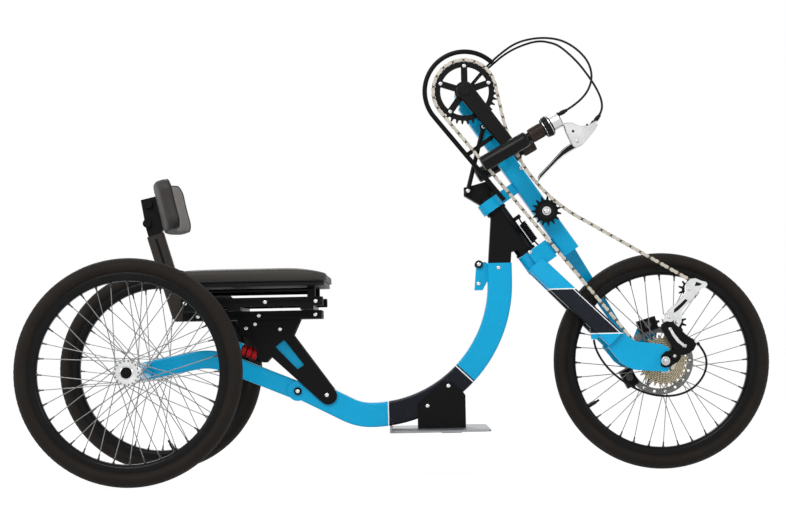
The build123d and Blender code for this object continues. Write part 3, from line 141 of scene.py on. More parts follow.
class HandcycleDrive(bpy.types.PropertyGroup):
    """Sizes of the chain, its rollers and the screws."""

    pitch: FloatProperty(
        name="Pitch", description="Distance between two pins of the chain", default=0.0127, unit="LENGTH"
    )
    plate_height: FloatProperty(
        name="Plate", description="Height of a chain plate at its pin", default=0.0082, unit="LENGTH"
    )
    plate_thickness: FloatProperty(
        name="Plate thickness", description="Thickness of a chain plate", default=0.0009, unit="LENGTH"
    )
    roller_radius: FloatProperty(
        name="Roller", description="Radius of a chain roller", default=0.0038, unit="LENGTH"
    )
    screw_radius: FloatProperty(
        name="Screw head", description="Radius of a screw's head", default=0.0052, unit="LENGTH"
    )


class HandcycleSeat(bpy.types.PropertyGroup):
    """Sizes of the upholstery."""

    crown: FloatProperty(
        name="Crown", description="How much the cushion's middle stands above its edge", default=0.0035,
        unit="LENGTH",
    )
    corner: FloatProperty(
        name="Corner", description="Radius of the cushion's corners", default=0.034, unit="LENGTH"
    )
    welt: FloatProperty(name="Welt", description="Radius of the sewn edge", default=0.0022, unit="LENGTH")


class HandcycleStage(bpy.types.PropertyGroup):
    """Lamps and floor."""

    key_power: FloatProperty(
        name="Main lamp", description="Power of the main lamp", default=118.0, unit="POWER"
    )
    fill_power: FloatProperty(
        name="Side lamp", description="Power of the lamp ahead of the handcycle", default=46.0, unit="POWER"
    )
    sky: FloatProperty(name="Surround", description="Strength of the light from all round", default=0.48)
    floor_size: FloatProperty(name="Floor", description="Radius of the floor", default=30.0, unit="LENGTH")


class Value:
    """An output of a shader node that stands in a Python expression; each operator adds one Math node."""

    def __init__(self, finish, socket):
        self.finish = finish
        self.socket = socket

    def maths(self, operation, *others, first=None):
        values = (self, *others) if first is None else (first, self)
        return self.finish.add("ShaderNodeMath", {"operation": operation}, dict(enumerate(values)))

    def __add__(self, other):
        return self.maths("ADD", other)

    __radd__ = __add__

    def __sub__(self, other):
        return self.maths("SUBTRACT", other)

    def __rsub__(self, other):
        return self.maths("SUBTRACT", first=other)

    def __mul__(self, other):
        return self.maths("MULTIPLY", other)

    __rmul__ = __mul__

    def __gt__(self, other):
        return self.maths("GREATER_THAN", other)

    def __lt__(self, other):
        return self.maths("LESS_THAN", other)

    def __abs__(self):
        return self.maths("ABSOLUTE")


class Finish:
    """One procedural finish: its shader, and the nodes that vary it."""

    def __init__(self, name, roughness=0.5, metallic=0.0, coat=0.0, sheen=0.0, gloss=0.5):
        self.material = bpy.data.materials.new(name)
        self.material.use_nodes = True
        self.tree = self.material.node_tree
        self.shader = self.tree.nodes["Principled BSDF"]
        plain = {
            "Roughness": roughness, "Metallic": metallic, "Coat Weight": coat, "Coat Roughness": 0.08,
            "Sheen Weight": sheen, "Specular IOR Level": gloss,
        }
        for socket, value in plain.items():
            self.shader.inputs[socket].default_value = value
        coordinates = self.tree.nodes.new("ShaderNodeTexCoord")
        self.place = Value(self, coordinates.outputs["Object"])

    def add(self, kind, settings, sockets, output=0):
        """New node: its settings come first, then the values or links of its sockets."""
        node = self.tree.nodes.new(kind)
        for name, value in settings.items():
            setattr(node, name, value)
        for key, value in sockets.items():
            self.put(node.inputs[key], value)
        return Value(self, node.outputs[output])

    def put(self, socket, value):
        if isinstance(value, Value):
            self.tree.links.new(value.socket, socket)
        else:
            socket.default_value = value

    def axes(self):
        """The three object coordinates as values."""
        node = self.add("ShaderNodeSeparateXYZ", {}, {0: self.place}).socket.node
        return [Value(self, output) for output in node.outputs]

    def stretched(self, scale):
        return self.add("ShaderNodeMapping", {}, {"Vector": self.place, "Scale": scale})

    def noise(self, scale, detail=3.0, place=None):
        sockets = {"Vector": place or self.place, "Scale": scale, "Detail": detail}
        return self.add("ShaderNodeTexNoise", {}, sockets)

    def cells(self, scale):
        return self.add("ShaderNodeTexVoronoi", {"feature": "F1"}, {"Vector": self.place, "Scale": scale})

    def mix(self, share, first, second):
        return self.add("ShaderNodeMix", {"data_type": "RGBA"}, {0: share, 6: first, 7: second}, output=2)

    def spread(self, value, low, high):
        """Value brought from between two limits to between 0 and 1."""
        return self.add("ShaderNodeMapRange", {"clamp": True}, {0: value, 1: low, 2: high, 3: 0.0, 4: 1.0})

    def colour(self, value):
        self.put(self.shader.inputs["Base Color"], value)
        return self

    def rough(self, value):
        self.put(self.shader.inputs["Roughness"], value)
        return self

    def relief(self, height, depth, strength=1.0):
        bump = self.add("ShaderNodeBump", {}, {"Height": height, "Distance": depth, "Strength": strength})
        self.put(self.shader.inputs["Normal"], bump)
        return self


def shade(colour, factor):
    return tuple(part * factor for part in colour[:3]) + (1.0,)


def painted(name, mark=None):
    """Glossy frame paint with a faint orange peel; mark adds the bands and the lines of one piece."""
    colours = bpy.context.scene.handcycle_paint
    finish = Finish(name, roughness=0.36, coat=0.05, gloss=0.16)
    cloud = finish.noise(9.0, 2.0)
    base = finish.mix(cloud, shade(colours.cyan, 0.93), shade(colours.cyan, 1.05))
    if mark:
        x, _, z = finish.axes()
        dark, white = mark(x, z)
        base = finish.mix(dark, base, tuple(colours.navy))
        base = finish.mix(white, base, tuple(colours.line))
    dust = finish.spread(finish.noise(140.0, 4.0), 0.62, 0.78)
    finish.colour(finish.mix(dust * 0.05, base, tint(190, 196, 196)))
    finish.rough(finish.spread(cloud, 0.0, 1.0) * 0.12 + 0.22)
    return finish.relief(finish.noise(420.0, 2.0), 0.00012, 0.35).material


def tube_mark(x, z):
    """Dark stretch of the main tube under the rider's feet, with a line at each end."""
    slant = x * 0.690 + z * 0.724 - (0.441 * 0.724 - 0.075 * 0.690)
    dark = (x > -0.0365) * (slant < 0.0)
    rear_line = (x > -0.0375) * (x < -0.0352) * (z < 0.3)
    front_line = (slant > -0.0055) * (slant < -0.003) * (x > -0.0365)
    return dark, rear_line + front_line


def fork_mark(x, z):
    """Dark stretch of the fork's legs with three lines."""
    band = (z > 0.3158) * (z < 0.420)
    level = x + z
    dark = band * (level < 0.8225)
    ends = (abs(z - 0.420) < 0.0012) + (abs(z - 0.3158) < 0.0012)
    slant = band * (level > 0.812) * (level < 0.8145)
    return dark, ends * (level < 0.8225) + slant


def satin(name, colour, roughness=0.38, coat=0.03):
    """Dark powder coat or anodised layer with fine grain and rubbed places."""
    finish = Finish(name, roughness=roughness, coat=coat, gloss=0.09)
    wear = finish.spread(finish.noise(26.0, 5.0), 0.55, 0.8)
    finish.colour(finish.mix(wear * 0.35, colour, shade(colour, 2.4)))
    finish.rough(finish.noise(60.0, 3.0) * 0.2 + (roughness - 0.1))
    return finish.relief(finish.noise(900.0, 2.0), 0.00015, 0.5).material


def metal(name, colour, roughness=0.3, scale=300.0, metallic=1.0):
    """Bare metal with drawn or turned grain across the vehicle, and a little tarnish."""
    finish = Finish(name, roughness=roughness, metallic=metallic)
    lines = finish.noise(scale, 3.0, finish.stretched((1.0, 0.08, 1.0)))
    tarnish = finish.spread(finish.noise(35.0, 4.0), 0.35, 0.75)
    base = finish.mix(tarnish, colour, shade(colour, 0.72))
    finish.colour(finish.mix(lines * 0.4, base, shade(colour, 1.15)))
    finish.rough(lines * 0.22 + (roughness - 0.08))
    return finish.relief(lines, 0.00008, 0.5).material


def rubber(name, colour, roughness=0.75, grain=700.0, gloss=0.14):
    """Moulded rubber with a fine grain and paler dust."""
    finish = Finish(name, roughness=roughness, gloss=gloss)
    dust = finish.spread(finish.noise(18.0, 6.0), 0.45, 0.75)
    finish.colour(finish.mix(dust * 0.4, colour, shade(colour, 1.9)))
    finish.rough(finish.noise(90.0, 3.0) * 0.15 + (roughness - 0.08))
    return finish.relief(finish.noise(grain, 3.0), 0.0002, 0.5).material


# Distance in radius from one row of the cassette to the next
COG_STEP = 0.00404


def cogs(name, colour):
    """Plated cogs: bright teeth, with painted shade that darkens towards the foot of each row."""
    finish = Finish(name, roughness=0.32, metallic=1.0)
    x, _, z = finish.axes()
    across, up = x - AXLE.x, z - AXLE.z
    radius = (across * across + up * up).maths("SQRT")
    rows = (radius * (pi / COG_STEP)).maths("SINE")
    worn = finish.spread(finish.noise(160.0, 4.0), 0.4, 0.7)
    base = finish.mix(worn * 0.5, colour, shade(colour, 0.6))
    # Painted shade: the foot of each row, between the cogs, is painted darker.
    finish.colour(finish.mix(finish.spread(rows * rows, 0.45, 0.8), shade(colour, 0.3), base))
    finish.rough(worn * 0.15 + 0.28)
    return finish.relief(finish.noise(700.0, 2.0), 0.00012, 0.5).material


def pad_painted_light(finish, colour):
    """Painted light on the back pad: dark sides and a front painted paler as if lit, which starts past the
    sewn edge.
    """
    x, y, z = finish.axes()
    depth = x * PAD_AHEAD.x + z * PAD_AHEAD.z - y * y * 1.21 - PAD_MIDDLE.dot(PAD_AHEAD)
    # Painted light: the front face gets the paler colour of a lit face, the sides the dark covering.
    return finish.mix(finish.spread(depth, 0.0298, 0.0312), tint(30, 27, 24), colour)


def upholstery(name, colour, face=None):
    """Grained covering: small cells that swell between fine creases, with painted shade in the creases, and
    broad folds.
    """
    finish = Finish(name, roughness=0.5, sheen=0.03, gloss=0.3)
    grain = finish.cells(620.0) + finish.noise(1500.0, 2.0) * 0.3
    folds = finish.noise(7.0, 3.0)
    base = finish.mix(folds, shade(colour, 0.86), shade(colour, 1.12))
    if face:
        base = face(finish, base)
    # Grain pattern with painted shade: the creases between the cells are painted darker.
    finish.colour(finish.mix(finish.spread(grain, 0.25, 0.8) * 0.4, base, shade(colour, 0.35)))
    finish.rough(grain * 0.12 + 0.46)
    return finish.relief(grain * 0.3 + folds * 2.0, 0.0012, 0.55).material


def plastic(name, colour, roughness=0.45):
    """Moulded plastic with a fine spark-eroded grain."""
    finish = Finish(name, roughness=roughness, gloss=0.12)
    cloud = finish.noise(45.0, 3.0)
    finish.colour(finish.mix(cloud, colour, shade(colour, 1.5)))
    finish.rough(cloud * 0.15 + (roughness - 0.07))
    return finish.relief(finish.noise(1100.0, 2.0), 0.00015, 0.45).material


def around(direction):
    """Two directions at right angles to the given one, and the given one."""
    along = direction.normalized()
    across = Vector((1, 0, 0)) if abs(along.x) < 0.9 else UP
    across = (across - along * across.dot(along)).normalized()
    return across, along.cross(across), along


def sided(side, profile):
    """Turned profile on one side of the centre plane, 1 for the left and -1 for the right."""
    return [(side * along, radius) for along, radius in profile]


def linked(name, data):
    """New object of the scene that holds the data."""
    made = bpy.data.objects.new(name, data)
    bpy.context.scene.collection.objects.link(made)
    return made


def inset(outline, distance):
    """Closed side view outline moved inwards."""
    area = sum(a[0] * b[1] - b[0] * a[1] for a, b in zip(outline, outline[1:] + outline[:1]))
    turn = 1 if area > 0 else -1
    moved = []
    for index, corner in enumerate(outline):
        before, after = outline[index - 1], outline[(index + 1) % len(outline)]
        first = Vector((corner[0] - before[0], corner[1] - before[1])).normalized()
        second = Vector((after[0] - corner[0], after[1] - corner[1])).normalized()
        normal = Vector((-first.y - second.y, first.x + second.x)) * turn
        normal.normalize()
        reach = distance / max(0.4, normal.dot(Vector((-first.y, first.x)) * turn))
        moved.append((corner[0] + normal.x * reach, corner[1] + normal.y * reach))
    return moved


class Shape:
    """Mesh in the making: lofts, turned profiles, tubes and plates, each part with its finish."""

    def __init__(self, finish):
        self.mesh = bmesh.new()
        self.finishes = [finish]
        self.current = 0

    def use(self, finish):
        if finish not in self.finishes:
            self.finishes.append(finish)
        self.current = self.finishes.index(finish)
        return self

    def face(self, corners):
        self.mesh.faces.new(corners).material_index = self.current

    def loft(self, rings, loop=False):
        rows = [[self.mesh.verts.new(point) for point in ring] for ring in rings]
        for index in range(len(rows) - (0 if loop else 1)):
            near, far = rows[index], rows[(index + 1) % len(rows)]
            for here in range(len(near)):
                after = (here + 1) % len(near)
                self.face((near[here], near[after], far[after], far[here]))
        if not loop:
            self.face(rows[0][::-1])
            self.face(rows[-1])
        return self

    def turned(self, profile, centre, direction, steps=32, loop=False):
        """Profile of (along, radius) pairs turned about the direction through the centre."""
        u, v, w = around(direction)
        rings = []
        for along, radius in profile:
            ring = []
            for step in range(steps):
                angle = 2 * pi * step / steps
                reach = radius(angle) if callable(radius) else radius
                ring.append(centre + w * along + (u * cos(angle) + v * sin(angle)) * reach)
            rings.append(ring)
        return self.loft(rings, loop)

    def rod(self, start, end, radius, steps=16, bevel=0.0006):
        length = (end - start).length
        profile = [(0, radius - bevel), (bevel, radius), (length - bevel, radius), (length, radius - bevel)]
        return self.turned(profile, start, end - start, steps)

    def tube(self, points, radius, steps=8):
        """Round tube along points, with a frame that is carried on from one point to the next."""
        rings = []
        across = around(points[1] - points[0])[0]
        for index, point in enumerate(points):
            before, after = points[max(index - 1, 0)], points[min(index + 1, len(points) - 1)]
            along = (after - before).normalized()
            across = (across - along * across.dot(along)).normalized()
            other = along.cross(across)
            ring = [
                point + (across * cos(2 * pi * k / steps) + other * sin(2 * pi * k / steps)) * radius
                for k in range(steps)
            ]
            rings.append(ring)
        return self.loft(rings)

    def plate(self, outline, near, far, bevel=0.0006):
        """Side view outline made solid between two distances from the centre plane, with rounded edges."""
        if far < near:
            near, far = far, near
        small = inset(outline, bevel)
        layers = ((small, near), (outline, near + bevel), (outline, far - bevel), (small, far))
        return self.loft([[Vector((x, y, z)) for x, z in layer] for layer, y in layers])

    def object(self, name, smooth=38):
        bmesh.ops.remove_doubles(self.mesh, verts=self.mesh.verts, dist=1e-6)
        bmesh.ops.recalc_face_normals(self.mesh, faces=self.mesh.faces)
        data = bpy.data.meshes.new(name)
        self.mesh.to_mesh(data)
        self.mesh.free()
        for finish in self.finishes:
            data.materials.append(finish)
        data.shade_smooth()
        data.set_sharp_from_angle(angle=radians(smooth))
        return linked(name, data)

    def piece(self, name, body, slot, *replaced, smooth=38):
        return settle(self.object(name, smooth), body, slot, *replaced)


def settle(made, body, slot, *replaced):
    """Finished piece on its body, with the nodes that it stands for hidden. The slot is not used."""
    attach(made, body)
    if replaced:
        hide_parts(*replaced)
    return made


def repeat_tree():
    """Geometry Nodes tree that puts one piece on every spot, turned and stretched as the spot says."""
    tree = bpy.data.node_groups.get("repeat_piece")
    if tree:
        return tree
    tree = bpy.data.node_groups.new("repeat_piece", "GeometryNodeTree")
    for name, kind in (("Spots", "Geometry"), ("Piece", "Object"), ("Size", "Float"), ("Finish", "Material")):
        tree.interface.new_socket(name, in_out="INPUT", socket_type="NodeSocket" + kind)
    tree.interface.new_socket("Pieces", in_out="OUTPUT", socket_type="NodeSocketGeometry")
    nodes = {}
    kinds = {
        "given": "NodeGroupInput",
        "pattern": "GeometryNodeObjectInfo",
        "turn": "GeometryNodeInputNamedAttribute",
        "stretch": "GeometryNodeInputNamedAttribute",
        "rotation": "FunctionNodeEulerToRotation",
        "scale": "ShaderNodeVectorMath",
        "copies": "GeometryNodeInstanceOnPoints",
        "real": "GeometryNodeRealizeInstances",
        "finish": "GeometryNodeSetMaterial",
        "result": "NodeGroupOutput",
    }
    for name, kind in kinds.items():
        nodes[name] = tree.nodes.new(kind)
    for name in ("turn", "stretch"):
        nodes[name].data_type = "FLOAT_VECTOR"
        nodes[name].inputs["Name"].default_value = name
    nodes["scale"].operation = "SCALE"
    link = tree.links.new
    given = nodes["given"].outputs
    link(given["Piece"], nodes["pattern"].inputs["Object"])
    link(nodes["turn"].outputs["Attribute"], nodes["rotation"].inputs[0])
    link(nodes["stretch"].outputs["Attribute"], nodes["scale"].inputs[0])
    link(given["Size"], nodes["scale"].inputs["Scale"])
    link(given["Spots"], nodes["copies"].inputs["Points"])
    link(nodes["pattern"].outputs["Geometry"], nodes["copies"].inputs["Instance"])
    link(nodes["rotation"].outputs[0], nodes["copies"].inputs["Rotation"])
    link(nodes["scale"].outputs[0], nodes["copies"].inputs["Scale"])
    link(nodes["copies"].outputs[0], nodes["real"].inputs[0])
    link(nodes["real"].outputs[0], nodes["finish"].inputs["Geometry"])
    link(given["Finish"], nodes["finish"].inputs["Material"])
    link(nodes["finish"].outputs[0], nodes["result"].inputs[0])
    return tree


def repeat(name, pattern, spots, finish, body, slot, *replaced, size=1.0):
    """Copies of one shape, along +Z of each spot: a spot is its place, its direction and its stretch."""
    data = bpy.data.meshes.new(name + "_spots")
    data.from_pydata([spot[0] for spot in spots], [], [])
    turns, stretches = [], []
    for _, direction, stretch in spots:
        u, v, w = around(direction)
        turns.extend(Matrix((u, v, w)).transposed().to_euler())
        stretches.extend(stretch)
    for title, values in (("turn", turns), ("stretch", stretches)):
        data.attributes.new(title, "FLOAT_VECTOR", "POINT").data.foreach_set("vector", values)
    holder = linked(name + "_spots", data)
    original = pattern.object(name + "_pattern")
    modifier = holder.modifiers.new("repeat", "NODES")
    modifier.node_group = repeat_tree()
    values = {"Piece": original, "Size": size, "Finish": finish}
    for item in modifier.node_group.interface.items_tree:
        if item.in_out == "INPUT" and item.name in values:
            modifier[item.identifier] = values[item.name]
    graph = bpy.context.evaluated_depsgraph_get()
    mesh = bpy.data.meshes.new_from_object(holder.evaluated_get(graph))
    if not mesh.polygons:
        raise RuntimeError(f"{name} came out empty")
    mesh.name = name
    made = linked(name, mesh)
    for helper in (holder, original):
        bpy.data.objects.remove(helper)
    return settle(made, body, slot, *replaced)


def dress(finish, *nodes):
    """Gives CAD nodes their finish."""
    for node in nodes:
        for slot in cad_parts[node].material_slots:
            slot.material = finish


FINISHES = {}


def make_finishes():
    """All finishes, by the names that the pieces use."""
    colours = bpy.context.scene.handcycle_paint
    FINISHES.update(
        frame=painted("frame_paint"),
        tube=painted("main_tube_paint", tube_mark),
        fork=painted("fork_paint", fork_mark),
        black=satin("black_coat", tint(9, 9, 10)),
        rim=satin("rim_anodised", tint(15, 14, 14), 0.3, 0.05),
        crank=satin("crank_black", tint(14, 13, 13), 0.3, 0.1),
        post=satin("post_grey", tint(52, 48, 45), 0.42),
        steel=metal("bright_steel", tint(205, 206, 208), 0.24),
        chain=metal("chain_plate", tint(200, 194, 182), 0.26, scale=900.0),
        chain_inner=metal("chain_inner_plate", tint(100, 92, 80), 0.36, scale=900.0),
        cogs=cogs("cog_nickel", tint(206, 194, 166)),
        rotor=metal("rotor_steel", tint(120, 120, 118), 0.34, scale=500.0),
        tray=metal("tray_plate", tint(150, 152, 154), 0.36, scale=260.0),
        alloy=metal("alloy", tint(214, 215, 214), 0.33, scale=420.0),
        polished=metal("polished_alloy", tint(226, 227, 227), 0.16, scale=200.0),
        spoke=metal("spoke_steel", tint(128, 128, 128), 0.4, 800.0, metallic=0.6),
        dark_steel=metal("black_oxide", tint(70, 70, 72), 0.36, scale=500.0),
        tyre=rubber("tyre_rubber", tint(25, 21, 18), 0.72),
        grip=rubber("grip_rubber", tint(8, 7, 7), 0.3, 300.0, 0.14),
        sheath=rubber("cable_sheath", tint(10, 9, 9), 0.45, 160.0),
        spring=rubber("spring_rubber", tuple(colours.rubber), 0.5, 500.0),
        plastic=plastic("black_plastic", tint(14, 14, 14)),
        cup=plastic("cup_plastic", tint(44, 35, 31), 0.4),
        cushion=upholstery("seat_covering", tuple(colours.cushion)),
        # The back pad gets painted light: a paler, lit front.
        pad=upholstery("pad_covering", tuple(colours.pad), pad_painted_light),
        welt=upholstery("welt_covering", tint(24, 22, 20)),
    )


def polygon_radius(sides, inner, angle):
    """Distance from the middle of a regular polygon to its side at that angle."""
    part = 2 * pi / sides
    return inner / cos((angle + part / 2) % part - part / 2)


def hexagonal(profile):
    """Profile that is turned as a hexagon; each radius is the one inside its sides."""
    return [(along, (lambda angle, inner=inner: polygon_radius(6, inner, angle))) for along, inner in profile]


def screw_shape(finish, radius=1.0, height=0.62):
    """Button-head screw of unit size along +Z, with its hexagon socket."""
    shape = Shape(finish)
    socket = [(height, 0.46), (height * 0.4, 0.46), (height * 0.4, 0.02)]
    profile = [
        (-0.3, radius), (0.12, radius), (height * 0.62, radius * 0.9),
        (height * 0.93, radius * 0.7), (height, radius * 0.58),
    ]
    return shape.turned(profile + hexagonal(socket), ORIGIN, UP, 24)


def nut_shape(finish):
    """Hexagon nut of unit size along +Z with a washer and a domed end."""
    shape = Shape(finish)
    washer = [(-0.1, 1.25), (0.12, 1.25), (0.16, 1.15)]
    hexagon = [(0.16, 0.88), (0.7, 0.88), (0.84, 0.8)]
    end = [(0.86, 0.5), (1.1, 0.46), (1.16, 0.36), (1.17, 0.02)]
    return shape.turned(washer + hexagonal(hexagon) + end, ORIGIN, UP, 24)


def screws(name, places, finish, body, slot, scale=1.0):
    """Screws at (x, z, y) places, each with its head away from the centre plane."""
    radius = bpy.context.scene.handcycle_drive.screw_radius * scale
    spots = []
    for x, z, y in places:
        spots.append((Vector((x, y, z)), Vector((0, 1 if y > 0 else -1, 0)), (1, 1, 1)))
    return repeat(name, screw_shape(FINISHES[finish]), spots, FINISHES[finish], body, slot, size=radius)


class StageOperator(bpy.types.Operator):
    """Camera at the photograph's angle, soft lamps, pale floor and white surround"""

    bl_idname = "handcycle.stage"
    bl_label = "Stage and camera"

    def execute(self, context):
        scene = context.scene
        sizes = scene.handcycle_stage
        camera_data = bpy.data.cameras.new("camera")
        camera_data.lens = 99.13
        camera_data.sensor_width = 36
        camera = linked("camera", camera_data)
        stand = (0.00475, -5.0349, 0.29835)
        yaw, pitch, roll = -0.0047, 0.0405, -0.0201
        forward = Vector((sin(yaw) * cos(pitch), cos(yaw) * cos(pitch), sin(pitch)))
        right = Vector((cos(yaw), -sin(yaw), 0))
        up = right.cross(forward)
        side = right * cos(roll) + up * sin(roll)
        top = up * cos(roll) - right * sin(roll)
        turned = Matrix((side, top, -forward)).transposed().to_4x4()
        camera.matrix_world = Matrix.Translation(stand) @ turned
        scene.camera = camera
        lamps = {
            "main_lamp": ((-1.2, -3.6, 3.4), 2.6, sizes.key_power),
            "front_lamp": ((4.0, -1.5, 2.2), 2.2, sizes.fill_power),
            "far_lamp": ((-1.5, 3.8, 3.0), 2.6, sizes.key_power * 0.55),
            "rear_lamp": ((-4.0, -0.8, 2.0), 2.0, sizes.fill_power * 0.7),
        }
        aim = Vector((0, 0, 0.45))
        for name, (place, width, power) in lamps.items():
            data = bpy.data.lights.new(name, "AREA")
            data.shape = "DISK"
            data.size = width
            data.energy = power
            lamp = linked(name, data)
            lamp.location = place
            lamp.rotation_euler = (aim - Vector(place)).to_track_quat("-Z", "Y").to_euler()
        self.surround(scene, sizes.sky)
        self.floor(sizes.floor_size)
        scene.view_settings.view_transform = "Standard"
        return {"FINISHED"}

    def seen(self, tree):
        """1 for rays from the camera and for mirrored or refracted ones, else 0."""
        path = tree.nodes.new("ShaderNodeLightPath")
        last = path.outputs["Is Camera Ray"]
        for name in ("Is Glossy Ray", "Is Transmission Ray"):
            most = tree.nodes.new("ShaderNodeMath")
            most.operation = "MAXIMUM"
            tree.links.new(last, most.inputs[0])
            tree.links.new(path.outputs[name], most.inputs[1])
            last = most.outputs[0]
        return last

    def surround(self, scene, strength):
        world = bpy.data.worlds.new("surround")
        scene.world = world
        world.use_nodes = True
        tree = world.node_tree
        light = tree.nodes["Background"]
        light.inputs["Color"].default_value = (1, 1, 1, 1)
        light.inputs["Strength"].default_value = strength
        white = tree.nodes.new("ShaderNodeBackground")
        white.inputs["Color"].default_value = (1, 1, 1, 1)
        white.inputs["Strength"].default_value = 1.0
        mix = tree.nodes.new("ShaderNodeMixShader")
        tree.links.new(self.seen(tree), mix.inputs[0])
        tree.links.new(light.outputs[0], mix.inputs[1])
        tree.links.new(white.outputs[0], mix.inputs[2])
        tree.links.new(mix.outputs[0], tree.nodes["World Output"].inputs["Surface"])

    def floor(self, radius):
        finish = Finish("pale_floor", roughness=0.8)
        finish.colour(finish.mix(finish.noise(3.0), tint(236, 236, 236), tint(240, 240, 240)))
        tree = finish.tree
        glow_strength, glow_share = 1.085, 0.86
        glow = tree.nodes.new("ShaderNodeEmission")
        glow.inputs["Color"].default_value = (1, 1, 1, 1)
        glow.inputs["Strength"].default_value = glow_strength
        share = tree.nodes.new("ShaderNodeMath")
        share.operation = "MULTIPLY"
        share.inputs[1].default_value = glow_share
        mix = tree.nodes.new("ShaderNodeMixShader")
        tree.links.new(self.seen(tree), share.inputs[0])
        tree.links.new(share.outputs[0], mix.inputs[0])
        tree.links.new(finish.shader.outputs[0], mix.inputs[1])
        tree.links.new(glow.outputs[0], mix.inputs[2])
        tree.links.new(mix.outputs[0], tree.nodes["Material Output"].inputs["Surface"])
        shape = Shape(finish.material)
        rim = [Vector((cos(pi * k / 48) * radius, sin(pi * k / 48) * radius, 0)) for k in range(96)]
        shape.face([shape.mesh.verts.new(point) for point in rim])
        shape.object("floor")


# Cable routes, in metres. A loop's two halves meet above the chainring, after their sixth point.
GEAR_LOOP = (
    (0.3683, -0.175, 0.8136), (0.3907, -0.175, 0.8253), (0.4238, -0.172, 0.8532), (0.4393, -0.165, 0.8861),
    (0.4380, -0.155, 0.9178), (0.4242, -0.145, 0.9458), (0.3976, -0.130, 0.9729), (0.3666, -0.115, 0.9900),
    (0.3231, -0.095, 0.9966), (0.2751, -0.070, 0.9900), (0.2386, -0.045, 0.9673), (0.2142, -0.025, 0.9475),
    (0.1900, -0.014, 0.9240), (0.1680, -0.012, 0.8980),
)
BRAKE_LOOP = (
    (0.4460, -0.175, 0.7975), (0.4570, -0.175, 0.8110), (0.4610, -0.172, 0.8330), (0.4528, -0.165, 0.8615),
    (0.4343, -0.155, 0.8955), (0.4077, -0.145, 0.9339), (0.3735, -0.125, 0.9700), (0.3545, -0.110, 0.9815),
    (0.3229, -0.095, 0.9896), (0.2790, -0.070, 0.9796), (0.2469, -0.045, 0.9650), (0.2204, -0.020, 0.9453),
    (0.1930, -0.004, 0.9240), (0.1700, -0.001, 0.8961),
)
DERAILLEUR_RUN = (
    (0.4377, -0.070, 0.3013), (0.4392, -0.073, 0.2880), (0.4475, -0.077, 0.2654), (0.4665, -0.080, 0.2364),
    (0.4981, -0.080, 0.2071), (0.5404, -0.080, 0.1812), (0.5831, -0.080, 0.1696), (0.6261, -0.080, 0.1706),
    (0.6623, -0.080, 0.1860), (0.6864, -0.080, 0.2141), (0.6943, -0.080, 0.2426), (0.6895, -0.080, 0.2678),
    (0.6776, -0.080, 0.2838),
)
CABLE_RADIUS = 0.0025
LOOP_SPLIT = 5
# Width of the gap where two halves meet, and the length of each half, at the grip and at the boom
MEETING_GAP = 0.0003
GEAR_LENGTHS = (0.19, 0.316)
BRAKE_LENGTHS = (0.183, 0.298)


class CablesOperator(bpy.types.Operator):
    """Gear and brake cables of the right grip, and the derailleur's cable"""

    bl_idname = "handcycle.cables"
    bl_label = "Cables"

    def execute(self, context):
        make_finishes()
        for name, route, lengths in (("gear", GEAR_LOOP, GEAR_LENGTHS), ("brake", BRAKE_LOOP, BRAKE_LENGTHS)):
            points = [Vector(point) for point in route]
            before, after = points[LOOP_SPLIT], points[LOOP_SPLIT + 1]
            half_gap = (after - before).normalized() * (MEETING_GAP / 2)
            meeting = (before + after) / 2
            halves = {
                "grip": (points[: LOOP_SPLIT + 1] + [meeting - half_gap], "grip_right", lengths[0]),
                "boom": (points[:LOOP_SPLIT:-1] + [meeting + half_gap], "steering", lengths[1]),
            }
            for half, (run, body, length) in halves.items():
                tube, path = self.tube(f"{name}_cable_{half}", run)
                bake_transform(tube)
                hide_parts(f"{name}_cable_{half}")
        run = [Vector(point) for point in DERAILLEUR_RUN]
        tube, path = self.tube("derailleur_cable", run)
        settle(tube, "steering", "grip_rubber", "derailleur_cable")
        return {"FINISHED"}

    def tube(self, name, points):
        """Sheath along the smooth curve through a route, and the points of the curve's own line."""
        data = bpy.data.curves.new(name, "CURVE")
        data.dimensions = "3D"
        data.resolution_u = 8
        spline = data.splines.new("NURBS")
        spline.points.add(len(points) - 1)
        for point, place in zip(spline.points, points):
            point.co = (*place, 1.0)
        spline.order_u = 3
        spline.use_endpoint_u = True
        curve = linked(name + "_line", data)
        graph = bpy.context.evaluated_depsgraph_get()
        line = bpy.data.meshes.new_from_object(curve.evaluated_get(graph))
        path = [vertex.co.copy() for vertex in line.vertices]
        bpy.data.objects.remove(curve)
        shape = Shape(FINISHES["sheath"]).tube(path, CABLE_RADIUS, 12)
        return shape.object(name + "_sheath", 60), path


# Wheels: spokes on each side, the radius where they end under the rim, and a rear valve's turn in degrees
SIDE_SPOKES = 18
SPOKE_END = 0.1995
REAR_VALVE_TURN = -60.0


